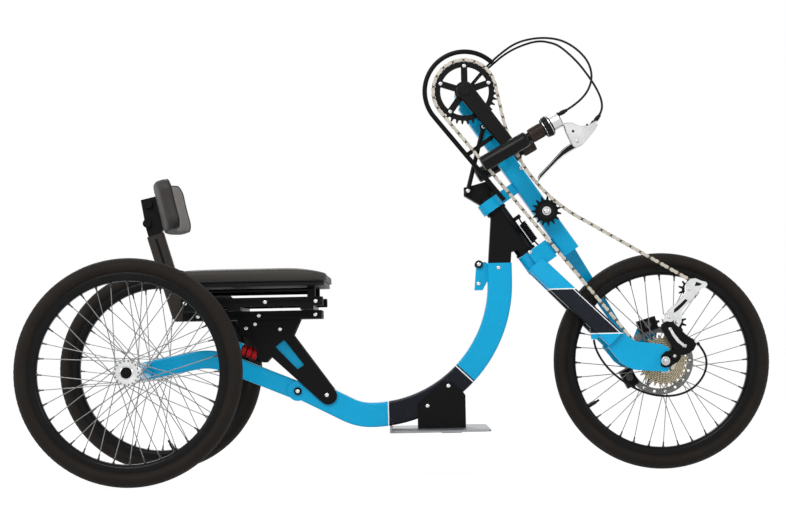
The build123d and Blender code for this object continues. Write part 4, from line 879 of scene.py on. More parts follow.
class WheelsOperator(bpy.types.Operator):
    """Tyres with tread, rims, hubs, laced spokes with nipples, and valves"""

    bl_idname = "handcycle.wheels"
    bl_label = "Wheels"

    def execute(self, context):
        sizes = context.scene.handcycle_wheels
        half_turn = pi / SIDE_SPOKES
        for name, (centre, outboard, body) in WHEELS.items():
            self.tyre(name, centre, body, sizes)
            self.rim(name, centre, body, sizes)
            if name == "front":
                self.front_hub(centre, body)
                sides = ((-1, -0.0175, 0.024, 0.0), (1, 0.0325, 0.024, half_turn))
            else:
                self.rear_hub(name, centre, outboard, body)
                sides = ((-1, -0.0275, 0.026, 0.0), (1, 0.0275, 0.026, half_turn))
            self.spokes(name, centre, body, sides, sizes)
        return {"FINISHED"}

    def tyre(self, name, centre, body, sizes):
        """Carcass and chevron tread as one skin; every second strip of a block is sunk."""
        half = sizes.tyre_half
        section = []
        for share in range(27):
            angle = -radians(128) + radians(256) * share / 26
            reach = 0.0185 if abs(angle) < pi / 2 else 0.0163
            section.append((half * sin(angle), 0.2315 + reach * cos(angle), angle))
        foot, bare = 0.0125, 9
        section = [
            (-foot, 0.2135, -bare), (-foot - 0.0008, 0.2176, -bare), *section, (foot + 0.0008, 0.2176, bare),
            (foot, 0.2135, bare),
        ]
        fractions = (0.0, 0.14, 0.24, 0.62, 0.76, 0.86)
        blocks = sizes.tread_blocks
        shape = Shape(FINISHES["tyre"])
        rings = []
        for block in range(blocks):
            for part, fraction in enumerate(fractions):
                ring = []
                for y, radius, angle in section:
                    tread = abs(angle) < radians(62)
                    lean = 1.5 * abs(y) / half if tread else 1.5 * 0.88
                    turn = 2 * pi * (block + fraction + lean) / blocks
                    sunk = 0.0
                    if tread and abs(angle) > radians(9) and part in ((1, 2) if y > 0 else (4, 5)):
                        sunk = sizes.tread_depth
                    if radians(11) < abs(angle) < radians(20):
                        sunk = sizes.tread_depth
                    if radians(80) < abs(angle) < radians(84) or radians(100) < abs(angle) < radians(104):
                        sunk = -0.0004
                    reach = radius - sunk * cos(angle) if tread else radius
                    side = y + (0 if tread else (-sunk if y > 0 else sunk))
                    ring.append(centre + Vector((reach * cos(turn), side, reach * sin(turn))))
                rings.append(ring)
        shape.loft(rings, loop=True)
        shape.piece(f"{name}_tyre_tread", body, "tyre", f"{name}_tyre", smooth=30)

    def rim(self, name, centre, body, sizes):
        """Hooked rim with its valve."""
        half = [
            (0.0, 0.2085), (0.0098, 0.2085), (0.0118, 0.2105),
            (0.0122, 0.2175), (0.0138, 0.2186), (0.0142, 0.2178),
        ]
        half += [(0.0142, 0.2075), (0.0134, 0.2050), (0.0100, 0.2012), (0.0060, 0.1992)]
        profile = half + [(-along, radius) for along, radius in reversed(half[1:])]
        shape = Shape(FINISHES["rim"])
        shape.turned(profile, centre, LEFT, 144, loop=True)
        turn = radians(sizes.valve_turn if name == "front" else REAR_VALVE_TURN)
        away = Vector((cos(turn), 0, sin(turn)))
        shape.use(FINISHES["plastic"])
        start = centre + away * 0.201
        stem = [(0, 0.0048), (0.001, 0.0048), (0.002, 0.004), (sizes.valve_length * 0.7, 0.004)]
        stem += [
            (sizes.valve_length * 0.72, 0.0028), (sizes.valve_length, 0.0026),
            (sizes.valve_length + 0.0005, 0.001),
        ]
        shape.turned(stem, start, -away, 16)
        shape.piece(f"{name}_rim_hooked", body, "rim_black", f"{name}_rim", smooth=32)

    def rear_hub(self, name, centre, outboard, body):
        profile = [
            (-0.033, 0.0066), (-0.033, 0.0125), (-0.0315, 0.014), (-0.0295, 0.014), (-0.029, 0.0284),
            (-0.0284, 0.029), (-0.0266, 0.029), (-0.026, 0.0284), (-0.0235, 0.0185), (-0.020, 0.0160),
            (-0.008, 0.0145), (0.008, 0.0145), (0.020, 0.0160), (0.0235, 0.0185), (0.026, 0.0284),
            (0.0266, 0.029), (0.0284, 0.029), (0.029, 0.0284), (0.0292, 0.019), (0.031, 0.019),
            (0.0315, 0.0148), (0.0340, 0.0128), (0.0350, 0.0095), (0.0350, 0.0001), (0.0312, 0.0001),
            (0.0312, 0.0066),
        ]
        shape = Shape(FINISHES["polished"])
        shape.turned(sided(outboard, profile), centre, LEFT, 64, loop=True)
        shape.use(FINISHES["black"])
        cap = [
            (0.0331, 0.0125), (0.0349, 0.0125), (0.0357, 0.0117), (0.0357, 0.0100),
            (0.0351, 0.0096), (0.0351, 0.0064), (0.0359, 0.006), (0.0360, 0.0001),
        ]
        shape.turned(sided(outboard, cap), centre, LEFT, 32)
        shape.piece(f"{name}_hub_shell", body, "alloy", f"{name}_hub")

    def front_hub(self, centre, body):
        profile = [
            (-0.062, 0.0062), (-0.062, 0.0122), (-0.060, 0.013), (-0.0602, 0.017), (-0.0195, 0.017),
            (-0.019, 0.0262), (-0.0184, 0.027), (-0.0166, 0.027), (-0.016, 0.0262), (-0.0125, 0.017),
            (-0.006, 0.0148), (0.010, 0.0142), (0.022, 0.0155), (0.028, 0.018), (0.031, 0.0262),
            (0.0316, 0.027), (0.0334, 0.027), (0.034, 0.0262), (0.0342, 0.0222), (0.044, 0.022),
            (0.0441, 0.011), (0.062, 0.0108), (0.062, 0.0062),
        ]
        shape = Shape(FINISHES["polished"])
        shape.turned(profile, centre, LEFT, 64, loop=True)
        shape.piece("front_hub_shell", body, "alloy", "front_hub")

    def spokes(self, name, centre, body, sides, sizes):
        """Three-cross lacing: half of each flange's spokes lean forward and half back."""
        spokes, nipples, heads = [], [], []
        for side, flange_y, hole_radius, first_angle in sides:
            for spoke in range(SIDE_SPOKES):
                rim_angle = first_angle + 2 * pi * spoke / SIDE_SPOKES
                lean = 1 if spoke % 2 else -1
                hub_angle = rim_angle + 3 * 2 * pi / SIDE_SPOKES * lean
                inner = centre + Vector(
                    (hole_radius * cos(hub_angle), flange_y + 0.0017 * lean, hole_radius * sin(hub_angle))
                )
                outer = centre + Vector(
                    (SPOKE_END * cos(rim_angle), 0.004 * side, SPOKE_END * sin(rim_angle))
                )
                way = (outer - inner).normalized()
                seat = outer - way * 0.012
                spokes.append((inner, way, (1, 1, (seat - inner).length)))
                nipples.append((seat, way, (1, 1, 1)))
                heads.append((inner - Vector((0, 0.0017 * lean, 0)), Vector((0, lean, 0)), (1, 1, 1)))
        radius = sizes.spoke_radius
        wire = Shape(FINISHES["spoke"]).rod(ORIGIN, UP, radius, 8, 0.0002)
        repeat(f"{name}_spokes", wire, spokes, FINISHES["spoke"], body, "bright_steel")
        profile = [
            (-0.0004, 0.0012), (0, 0.0017), (0.0085, 0.0019),
            (0.0088, 0.0028), (0.0135, 0.0030), (0.0136, 0.001),
        ]
        nipple = Shape(FINISHES["dark_steel"]).turned(profile, ORIGIN, UP, 8)
        repeat(f"{name}_nipples", nipple, nipples, FINISHES["dark_steel"], body, "dark_steel")
        profile = [(-0.0022, 0.0012), (-0.0021, 0.0023), (0.0019, 0.0023), (0.0026, 0.0017), (0.0028, 0.0004)]
        button = Shape(FINISHES["spoke"]).turned(profile, ORIGIN, UP, 10)
        repeat(f"{name}_spoke_heads", button, heads, FINISHES["spoke"], body, "bright_steel")


def pitch_radius(pitch, teeth):
    """Radius at which the chain's pins lie on a wheel with that many teeth."""
    return pitch / 2 / sin(pi / teeth)


class DriveOperator(bpy.types.Operator):
    """Chain of separate links, chainring bolts, idler bearing, derailleur and crank details"""

    bl_idname = "handcycle.drive"
    bl_label = "Chain and drive"

    def execute(self, context):
        sizes = context.scene.handcycle_drive
        self.chain(sizes)
        self.chainring()
        self.idler()
        self.derailleur()
        self.cranks()
        self.brakes()
        self.lockring()
        dress(FINISHES["cogs"], "cassette")
        dress(FINISHES["rotor"], "brake_rotor")
        dress(FINISHES["crank"], "chainring")
        dress(FINISHES["black"], "chain_guard", "idler")
        dress(FINISHES["plastic"], "derailleur_pulleys", "brake_calipers")
        dress(FINISHES["steel"], "front_axle")
        return {"FINISHED"}

    def loop(self, sizes):
        """Places of the pins round the closed chain, seen from the right."""
        ring, idler, cog, pulley = (pitch_radius(sizes.pitch, teeth) for teeth in (36, 15, 12, 10))
        sag, gap = 0.36, 0.00659
        first_reach, second_reach = ring + gap + sag, idler + sag
        across = Vector((IDLER.x - CRANK.x, IDLER.z - CRANK.z))
        apart = across.length
        along = (first_reach**2 - second_reach**2 + apart**2) / (2 * apart)
        beside = sqrt(first_reach**2 - along**2)
        way = across / apart
        sag_centre = (CRANK.x + way.x * along - way.y * beside, CRANK.z + way.y * along + way.x * beside)
        wraps = [
            ((CRANK.x, CRANK.z), ring, 1),
            ((AXLE.x, AXLE.z), cog, 1),
            ((GUIDE.x, GUIDE.z), pulley, -1),
            ((TENSION.x, TENSION.z), pulley, 1),
            (sag_centre, sag, -1),
        ]
        stretches = []
        headings = []
        for index, ((x, z), radius, turn) in enumerate(wraps):
            (next_x, next_z), next_radius, next_turn = wraps[(index + 1) % len(wraps)]
            apart = hypot(next_x - x, next_z - z)
            headings.append(
                atan2(next_z - z, next_x - x) - asin((next_turn * next_radius - turn * radius) / apart)
            )
        for index, ((x, z), radius, turn) in enumerate(wraps):
            arrive, leave = headings[index - 1], headings[index]
            sweep = (leave - arrive) * turn % (2 * pi)
            stretches.append(("arc", x, z, radius, turn, arrive, sweep))
            angle = leave - turn * pi / 2
            start = Vector((x + radius * cos(angle), z + radius * sin(angle)))
            (next_x, next_z), next_radius, next_turn = wraps[(index + 1) % len(wraps)]
            angle = leave - next_turn * pi / 2
            end = Vector((next_x + next_radius * cos(angle), next_z + next_radius * sin(angle)))
            stretches.append(("run", start, end))
        lengths = [
            item[3] * item[6] if item[0] == "arc" else (item[2] - item[1]).length for item in stretches
        ]
        total = sum(lengths)
        count = 2 * round(total / sizes.pitch / 2)

        def at(distance):
            distance %= total
            for item, length in zip(stretches, lengths):
                if distance <= length:
                    break
                distance -= length
            if item[0] == "run":
                return item[1].lerp(item[2], distance / length)
            _, x, z, radius, turn, arrive, _ = item
            angle = arrive + turn * distance / radius - turn * pi / 2
            return Vector((x + radius * cos(angle), z + radius * sin(angle)))

        return [at(total * (index + 0.35) / count) for index in range(count)]

    def chain(self, sizes):
        pins = self.loop(sizes)
        links = ([], [])
        for index, pin in enumerate(pins):
            after = pins[(index + 1) % len(pins)]
            middle = (pin + after) / 2
            way = after - pin
            spot = (
                Vector((middle.x, CHAIN_Y, middle.y)), Vector((way.x, 0, way.y)),
                (1, 1, way.length / sizes.pitch),
            )
            links[index % 2].append(spot)
        inside, thick = 0.0012, sizes.plate_thickness
        outer = self.link(sizes, (inside + thick, inside + 2 * thick), pins=True)
        inner = self.link(sizes, (inside, inside + thick), pins=False)
        repeat("chain_outer_links", outer, links[0], FINISHES["chain"], "steering", "bright_steel", "chain")
        repeat("chain_inner_links", inner, links[1], FINISHES["chain_inner"], "steering", "bright_steel")

    def link(self, sizes, layers, pins):
        """One link along +Z with its plates across the vehicle, waisted between the pins."""
        half, high = sizes.pitch / 2, sizes.plate_height / 2
        outline = []
        for end in (1, -1):
            for step in range(7):
                angle = (-100 + 200 * step / 6) * pi / 180
                outline.append((end * (half + high * cos(angle)), end * high * sin(angle)))
            outline.append((0.0, end * high * 0.74))
        shape = Shape(FINISHES["chain"])
        for side in (-1, 1):
            near, far = sorted(side * layer for layer in layers)
            small = inset(outline, 0.00025)
            stack = ((small, near), (outline, near + 0.0002), (outline, far - 0.0002), (small, far))
            shape.loft([[Vector((x, y, z)) for z, x in layer] for layer, y in stack])
        for end in (-1, 1):
            place = Vector((0, 0, end * half))
            if pins:
                shape.rod(place - Vector((0, 0.0034, 0)), place + Vector((0, 0.0034, 0)), 0.0018, 8, 0.0002)
            else:
                shape.rod(
                    place - Vector((0, 0.0012, 0)), place + Vector((0, 0.0012, 0)), sizes.roller_radius, 10,
                    0.0001,
                )
        return shape

    def chainring(self):
        places = []
        for arm in range(5):
            angle = pi / 2 + 2 * pi * arm / 5
            places.append((CRANK.x - 0.058 * cos(angle), CRANK.z + 0.058 * sin(angle), -0.0646))
        screws("chainring_bolts", places, "polished", "crank", "bright_steel", 0.95)

    def idler(self):
        shape = Shape(FINISHES["alloy"])
        place = Vector((IDLER.x, 0, IDLER.z))
        face = CHAIN_Y - 0.0055
        ring = [
            (face + 0.001, 0.0105), (face - 0.0006, 0.0100), (face - 0.0008, 0.0072), (face + 0.001, 0.0070)
        ]
        shape.turned(ring, place, LEFT, 40, loop=True)
        shape.use(FINISHES["plastic"])
        seal = [
            (face + 0.001, 0.0185), (face - 0.0004, 0.0180), (face - 0.0004, 0.0112), (face + 0.001, 0.0110)
        ]
        shape.turned(seal, place, LEFT, 40, loop=True)
        shape.piece("idler_bearing", "steering", "alloy")
        screws(
            "idler_bolt", [(IDLER.x, IDLER.z, CHAIN_Y - 0.0098)], "polished", "steering", "bright_steel", 1.35
        )

    def derailleur(self):
        """Dark body on its hanger, bright knuckle and cage, and the cable's adjusting barrel."""
        shape = Shape(FINISHES["black"])
        hanger = [
            (0.588, 0.240), (0.596, 0.235), (0.608, 0.236), (0.630, 0.249), (0.635, 0.258),
            (0.633, 0.266), (0.622, 0.274), (0.600, 0.272), (0.590, 0.262),
        ]
        shape.plate(hanger, -0.078, -0.083, 0.001)
        body = [
            (0.612, 0.291), (0.618, 0.270), (0.628, 0.264), (0.642, 0.262), (0.655, 0.267), (0.665, 0.274),
            (0.671, 0.286), (0.666, 0.298), (0.655, 0.304), (0.646, 0.311), (0.635, 0.323), (0.621, 0.337),
            (0.604, 0.341), (0.593, 0.334), (0.592, 0.324), (0.600, 0.309),
        ]
        shape.plate(body, -0.0646, -0.0826, 0.0024)
        shape.rod(Vector((0.6197, -0.070, 0.261)), Vector((0.6197, -0.087, 0.261)), 0.0095, 32, 0.001)
        shape.use(FINISHES["polished"])
        link = [
            (0.609, 0.322), (0.617, 0.306), (0.628, 0.291), (0.640, 0.281), (0.647, 0.279),
            (0.647, 0.284), (0.633, 0.296), (0.622, 0.311), (0.614, 0.325),
        ]
        shape.plate(link, -0.0824, -0.0846, 0.001)
        shape.piece("derailleur_body_shaped", "steering", "alloy", "derailleur_body")
        shape = Shape(FINISHES["polished"])
        knuckle = [
            (0.596, 0.338), (0.606, 0.334), (0.619, 0.339), (0.627, 0.349),
            (0.622, 0.360), (0.610, 0.364), (0.599, 0.357), (0.594, 0.347),
        ]
        shape.plate(knuckle, -0.0648, -0.0800, 0.002)
        start, way = Vector((0.668, -0.080, 0.2967)), Vector((0.596, 0, -0.803))
        shape.rod(start, start + way * 0.0075, 0.0046, 24)
        shape.use(FINISHES["plastic"])
        shape.rod(start + way * 0.0075, start + way * 0.0155, 0.0038, 16)
        shape.piece("derailleur_knuckle", "steering", "bright_steel")
        shape = Shape(FINISHES["polished"])
        cage = [
            (0.604, 0.350), (0.609, 0.364), (0.619, 0.373), (0.632, 0.383), (0.643, 0.395),
            (0.650, 0.407), (0.650, 0.420), (0.655, 0.430), (0.664, 0.437), (0.675, 0.438),
            (0.688, 0.432), (0.699, 0.429), (0.702, 0.423), (0.697, 0.416), (0.686, 0.413),
            (0.677, 0.403), (0.667, 0.391), (0.653, 0.377), (0.643, 0.366), (0.642, 0.352),
            (0.640, 0.338), (0.634, 0.328), (0.624, 0.325), (0.614, 0.330), (0.606, 0.340),
        ]
        for near, far in ((-0.0646, -0.0630), (-0.0530, -0.0514)):
            shape.plate(cage, near, far, 0.0004)
        shape.rod(Vector((0.697, -0.0635, 0.424)), Vector((0.697, -0.0525, 0.424)), 0.003, 16)
        shape.use(FINISHES["plastic"])
        for hole in (
            [
                (0.622, 0.358), (0.634, 0.366), (0.645, 0.376), (0.656, 0.388),
                (0.650, 0.391), (0.638, 0.380), (0.624, 0.368),
            ],
            [(0.616, 0.338), (0.622, 0.334), (0.624, 0.348), (0.617, 0.352)],
            [(0.672, 0.420), (0.684, 0.421), (0.690, 0.425), (0.676, 0.430)],
        ):
            shape.plate(hole, -0.0640, -0.06475, 0.0001)
        shape.piece("derailleur_cage_shaped", "steering", "bright_steel", "derailleur_cage")
        screws(
            "derailleur_screws",
            [
                (0.6197, 0.261, -0.0872), (0.6285, 0.338, -0.0648), (0.6595, 0.4125, -0.0648),
                (0.611, 0.323, -0.0845), (0.6445, 0.284, -0.0845), (0.610, 0.350, -0.0800),
            ],
            "steel", "steering", "bright_steel", 0.75,
        )

    def brakes(self):
        """Covers and pad screws on the two calipers beside the rotor."""
        shape = Shape(FINISHES["black"])
        for lean, x, z in ((-63, 0.528, 0.212), (17, 0.574, 0.334)):
            turn = radians(lean)
            corners = [
                (-0.018, -0.008), (-0.014, -0.011), (0.014, -0.011), (0.018, -0.008),
                (0.018, 0.008), (0.014, 0.011), (-0.014, 0.011), (-0.018, 0.008),
            ]
            outline = [
                (x + a * cos(turn) - b * sin(turn), z + a * sin(turn) + b * cos(turn)) for a, b in corners
            ]
            shape.use(FINISHES["black"]).plate(outline, 0.0362, 0.0335, 0.001)
            shape.use(FINISHES["dark_steel"])
            knob = [
                (0.0345, 0.0085), (0.0325, 0.0085), (0.0315, 0.0075),
                (0.0315, 0.0035), (0.0325, 0.003), (0.0325, 0.0002),
            ]
            shape.turned(knob, Vector((x, 0, z)), LEFT, 32)
            along = Vector((cos(turn), 0, sin(turn)))
            place = Vector((x, 0.0395, z))
            shape.use(FINISHES["steel"]).rod(place - along * 0.018, place - along * 0.0225, 0.0034, 6)
            shape.use(FINISHES["plastic"]).rod(place + along * 0.0178, place + along * 0.0240, 0.0042, 24)
            shape.use(FINISHES["dark_steel"]).rod(place + along * 0.0240, place + along * 0.0290, 0.0030, 16)
        shape.piece("caliper_covers", "steering", "head_black")

    def lockring(self):
        shape = Shape(FINISHES["dark_steel"])

        def notched(inner):
            return lambda angle: inner - (0.0009 if cos(12 * angle) > 0.3 else 0.0)

        ring = [
            (-0.0600, 0.0128), (-0.0600, notched(0.0200)), (-0.0614, notched(0.0196)), (-0.0618, 0.0172),
            (-0.0618, 0.0128),
        ]
        shape.turned(ring, Vector((AXLE.x, 0, AXLE.z)), LEFT, 96, loop=True)
        shape.piece("cassette_lockring", "front_wheel", "bright_steel")

    def cranks(self):
        """Bevelled crank arms with their spindle, pins and end caps."""
        end = Vector((PIN.x, 0, PIN.z))
        way = (end - CRANK).normalized()
        across = Vector((-way.z, 0, way.x))
        outline = []
        for centre, radius, first in ((CRANK, 0.020, 90), (end, 0.015, -90)):
            for step in range(13):
                angle = radians(first + 180 * step / 12)
                point = centre + (way * cos(angle) + across * sin(angle)) * radius
                outline.append((point.x, point.z))
        inner, outer, tip = 0.070, 0.086, 0.19
        cap = [
            (outer - 0.001, 0.0135), (outer + 0.0012, 0.0130),
            (outer + 0.0018, 0.0112), (outer + 0.0006, 0.0105),
        ]
        cap += [(outer + 0.0006, 0.0002)]
        pin = [(tip - 0.003, 0.0076), (tip - 0.0005, 0.0078), (tip, 0.0070), (tip, 0.0040)]
        pin += [(tip - 0.003, 0.0038), (tip - 0.003, 0.0002)]
        for side, name in ((-1, "right"), (1, "left")):
            shape = Shape(FINISHES["crank"])
            shape.plate(outline, side * inner, side * outer, 0.0028)
            shape.rod(end + LEFT * side * (outer - 0.001), end + LEFT * side * (tip - 0.001), 0.008, 32)
            if side < 0:
                shape.use(FINISHES["steel"]).rod(
                    CRANK - LEFT * (inner + 0.001), CRANK + LEFT * (inner + 0.001), 0.012, 32
                )
            shape.use(FINISHES["plastic"]).turned(sided(side, cap), CRANK, LEFT, 40)
            shape.use(FINISHES["steel"]).turned(sided(side, pin), end, LEFT, 32)
            shape.piece(f"crank_{name}_shaped", "crank", "head_black", f"crank_{name}")


class GripsOperator(bpy.types.Operator):
    """Smooth hand grips with their knurled cups, the twist shifter and the brake lever"""

    bl_idname = "handcycle.grips"
    bl_label = "Hand grips and controls"

    def execute(self, context):
        for side, name in ((-1, "right"), (1, "left")):
            self.grip(side, name)
        self.shifter()
        self.lever()
        return {"FINISHED"}

    def grip(self, side, name):
        centre = Vector((PIN.x, side * GRIP_Y, PIN.z))
        shape = Shape(FINISHES["grip"])
        profile = [(-0.085, 0.0002), (-0.085, 0.0140), (-0.0835, 0.0168), (-0.081, 0.0175)]
        profile += [(0.024, 0.0175), (0.029, 0.0170), (0.032, 0.0150), (0.032, 0.0108)]
        shape.turned(profile, centre, GRIP_WAY, 40)
        shape.use(FINISHES["black"])
        shape.rod(centre + GRIP_WAY * 0.031, centre + GRIP_WAY * 0.0415, 0.011, 32)
        if side < 0:
            shape.rod(centre + GRIP_WAY * 0.073, centre + GRIP_WAY * 0.119, 0.0108, 32)
        shape.use(FINISHES["cup"])

        def knurl(inner):
            return lambda angle: inner + 0.0008 * (1 if cos(angle * 16) > -0.3 else -1)

        cup = [
            (0.040, 0.0112), (0.040, 0.0150), (0.0412, 0.0160), (0.044, 0.0162), (0.0445, knurl(0.0158)),
            (0.0690, knurl(0.0158)), (0.0695, 0.0162), (0.0728, 0.0162), (0.074, 0.0150), (0.074, 0.0112),
        ]
        shape.turned(cup, centre, GRIP_WAY, 96)
        shape.use(FINISHES["black"])
        sleeve = [(0.087, 0.0083), (0.087, 0.0132), (0.088, 0.0140), (0.162, 0.0140), (0.162, 0.0083)]
        shape.turned(sided(side, sleeve), Vector((PIN.x, 0, PIN.z)), LEFT, 40, loop=True)
        shape.piece(f"grip_{name}_ribbed", f"grip_{name}", "grip_rubber", f"grip_{name}", smooth=30)

    def shifter(self):
        centre = Vector((PIN.x, -GRIP_Y, PIN.z))
        shape = Shape(FINISHES["plastic"])

        def ridge(outer):
            return lambda angle: outer - 0.0008 * (1 if cos(angle * 18) > 0.2 else 0)

        profile = [
            (0.0745, 0.0112), (0.0745, 0.0190), (0.0752, 0.0212), (0.0762, 0.0215), (0.0764, ridge(0.0226)),
            (0.0858, ridge(0.0240)), (0.0862, 0.0240), (0.0905, 0.0240), (0.0935, 0.0222), (0.0947, 0.0190),
            (0.0947, 0.0112),
        ]
        shape.turned(profile, centre, GRIP_WAY, 144)
        shape.use(FINISHES["polished"])
        for at, reach in ((0.0760, 0.0222), (0.0902, 0.0240)):
            line = [
                (at, reach - 0.001), (at, reach + 0.0003),
                (at + 0.0012, reach + 0.0003), (at + 0.0012, reach - 0.001),
            ]
            shape.turned(line, centre, GRIP_WAY, 96, loop=True)
        shape.piece("twist_shifter_ribbed", "grip_right", "black_plastic", "twist_shifter", smooth=32)

    def beside_pin(self, offsets):
        """Side view outline from its offsets to the crank pin, in millimetres."""
        return [(PIN.x + x / 1000, PIN.z + z / 1000) for x, z in offsets]

    def lever(self):
        """Clamp, body and curved blade of the brake lever, and the ends of the two cables."""
        centre = Vector((PIN.x, -GRIP_Y, PIN.z))
        shape = Shape(FINISHES["alloy"])
        clamp = [
            (0.0952, 0.0112), (0.0952, 0.0160), (0.0962, 0.0170),
            (0.1158, 0.0170), (0.1168, 0.0160), (0.1168, 0.0112),
        ]
        shape.turned(clamp, centre, GRIP_WAY, 48, loop=True)
        body = [
            (109, 47), (120, 49), (131, 48), (141, 43), (150, 40), (161, 42), (172, 46),
            (184, 52), (187, 48), (188, 42), (181, 31), (172, 20), (162, 8), (152, -2),
            (143, -7), (134, -8), (129, -4), (126, 2), (121, 13), (116, 24), (112, 36),
        ]
        shape.plate(self.beside_pin(body), -GRIP_Y - 0.008, -GRIP_Y + 0.008, 0.0022)
        shape.use(FINISHES["polished"])
        blade = [
            (148, 2), (144, -5), (138, -10), (125, -17), (110, -26), (97, -37), (84, -50),
            (71, -63), (58, -76), (54, -82), (51, -84), (48, -82), (48, -78), (50, -73),
            (54, -66), (64, -56), (76, -44), (90, -29), (104, -14), (116, -4), (128, 4),
        ]
        outline = self.beside_pin(blade)
        shape.plate(outline, -GRIP_Y - 0.006, -GRIP_Y + 0.006, 0.0018)
        shape.use(FINISHES["plastic"]).plate(
            inset(outline, 0.0026), -GRIP_Y - 0.0064, -GRIP_Y + 0.0064, 0.0003
        )
        ends = Shape(FINISHES["plastic"])
        for route in (GEAR_LOOP, BRAKE_LOOP):
            start, after = Vector(route[0]), Vector(route[1])
            way = (after - start).normalized()
            ferrule = [
                (-0.019, 0.0027), (-0.019, 0.0050), (-0.018, 0.0058), (-0.008, 0.0058),
                (-0.007, 0.0042), (-0.004, 0.0042), (-0.003, 0.0050), (0.006, 0.0050),
                (0.0065, 0.0042), (0.013, 0.0036), (0.0135, 0.0027),
            ]
            ends.turned(ferrule, start, way, 24, loop=True)
        ends.piece("cable_ferrules", "grip_right", "black_plastic")
        for x, z, radius in ((0.3924, 0.7709, 0.003), (0.4240, 0.7850, 0.0022)):
            shape.rod(Vector((x, -GRIP_Y - 0.0070, z)), Vector((x, -GRIP_Y - 0.0086, z)), radius, 24, 0.0004)
        shape.piece("brake_lever_shaped", "grip_right", "alloy", "brake_lever", smooth=42)
        screws(
            "lever_pivot", [(PIN.x + 0.141, PIN.z + 0.006, -GRIP_Y - 0.0079)], "steel", "grip_right",
            "bright_steel", 0.8,
        )


class SteeringOperator(bpy.types.Operator):
    """Steering head, centring coil spring, fork fittings and their bolts"""

    bl_idname = "handcycle.steering"
    bl_label = "Steering"

    def execute(self, context):
        self.coil()
        dress(FINISHES["fork"], "fork")
        dress(FINISHES["frame"], "boom", "upper_clamp")
        dress(FINISHES["black"], "clevis", "boom_struts")
        dress(FINISHES["steel"], "steerer")
        screws(
            "steering_bolts",
            [
                (0.158, 0.652, -0.034), (0.158, 0.652, 0.034), (0.197, 0.800, -0.034),
                (0.197, 0.800, 0.034), (0.2826, 0.7034, -0.022), (0.2977, 0.5069, -0.042),
                (0.2977, 0.5069, 0.042),
            ],
            "polished", "steering", "bright_steel",
        )
        nuts = [(Vector((AXLE.x, side * 0.088, AXLE.z)), Vector((0, side, 0)), (1, 1, 1)) for side in (-1, 1)]
        repeat(
            "front_axle_nuts", nut_shape(FINISHES["steel"]), nuts, FINISHES["steel"], "steering",
            "bright_steel", size=0.0075,
        )
        self.headset()
        return {"FINISHED"}

    def coil(self):
        """Coil spring with closed hooks, from the head tube to the fork's crown."""
        top, bottom = head_point(0.067, 0.032), head_point(0.1425, 0.032)
        points = []
        turns, steps = 12, 14
        across = LEFT
        for step in range(turns * steps + 1):
            share = step / (turns * steps)
            angle = 2 * pi * turns * share
            along = 0.16 + 0.68 * share
            points.append(top.lerp(bottom, along) + (across * cos(angle) + AHEAD * sin(angle)) * 0.0072)
        points = [top + AHEAD * 0.001, top.lerp(bottom, 0.08) + across * 0.003] + points + [
            top.lerp(bottom, 0.92) + across * 0.003, bottom + AHEAD * 0.001
        ]
        made = Shape(FINISHES["plastic"]).tube(points, 0.0019, 8).object("centring_coil", 60)
        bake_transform(made)
        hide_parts("centring_spring")

    def headset(self):
        """Rings at the two ends of the head tube, each towards the tube's middle."""
        cup = [
            (0.0002, 0.0226), (0.0002, 0.0245), (0.0012, 0.0250),
            (0.006, 0.0250), (0.0072, 0.0238), (0.0072, 0.0226),
        ]
        for name, along, side in (("upper", 0.0176, 1), ("lower", 0.142, -1)):
            shape = Shape(FINISHES["black"])
            shape.turned(sided(side, cup), head_point(along, 0), DOWN, 48, loop=True)
            shape.piece(f"headset_{name}", "frame", "head_black")


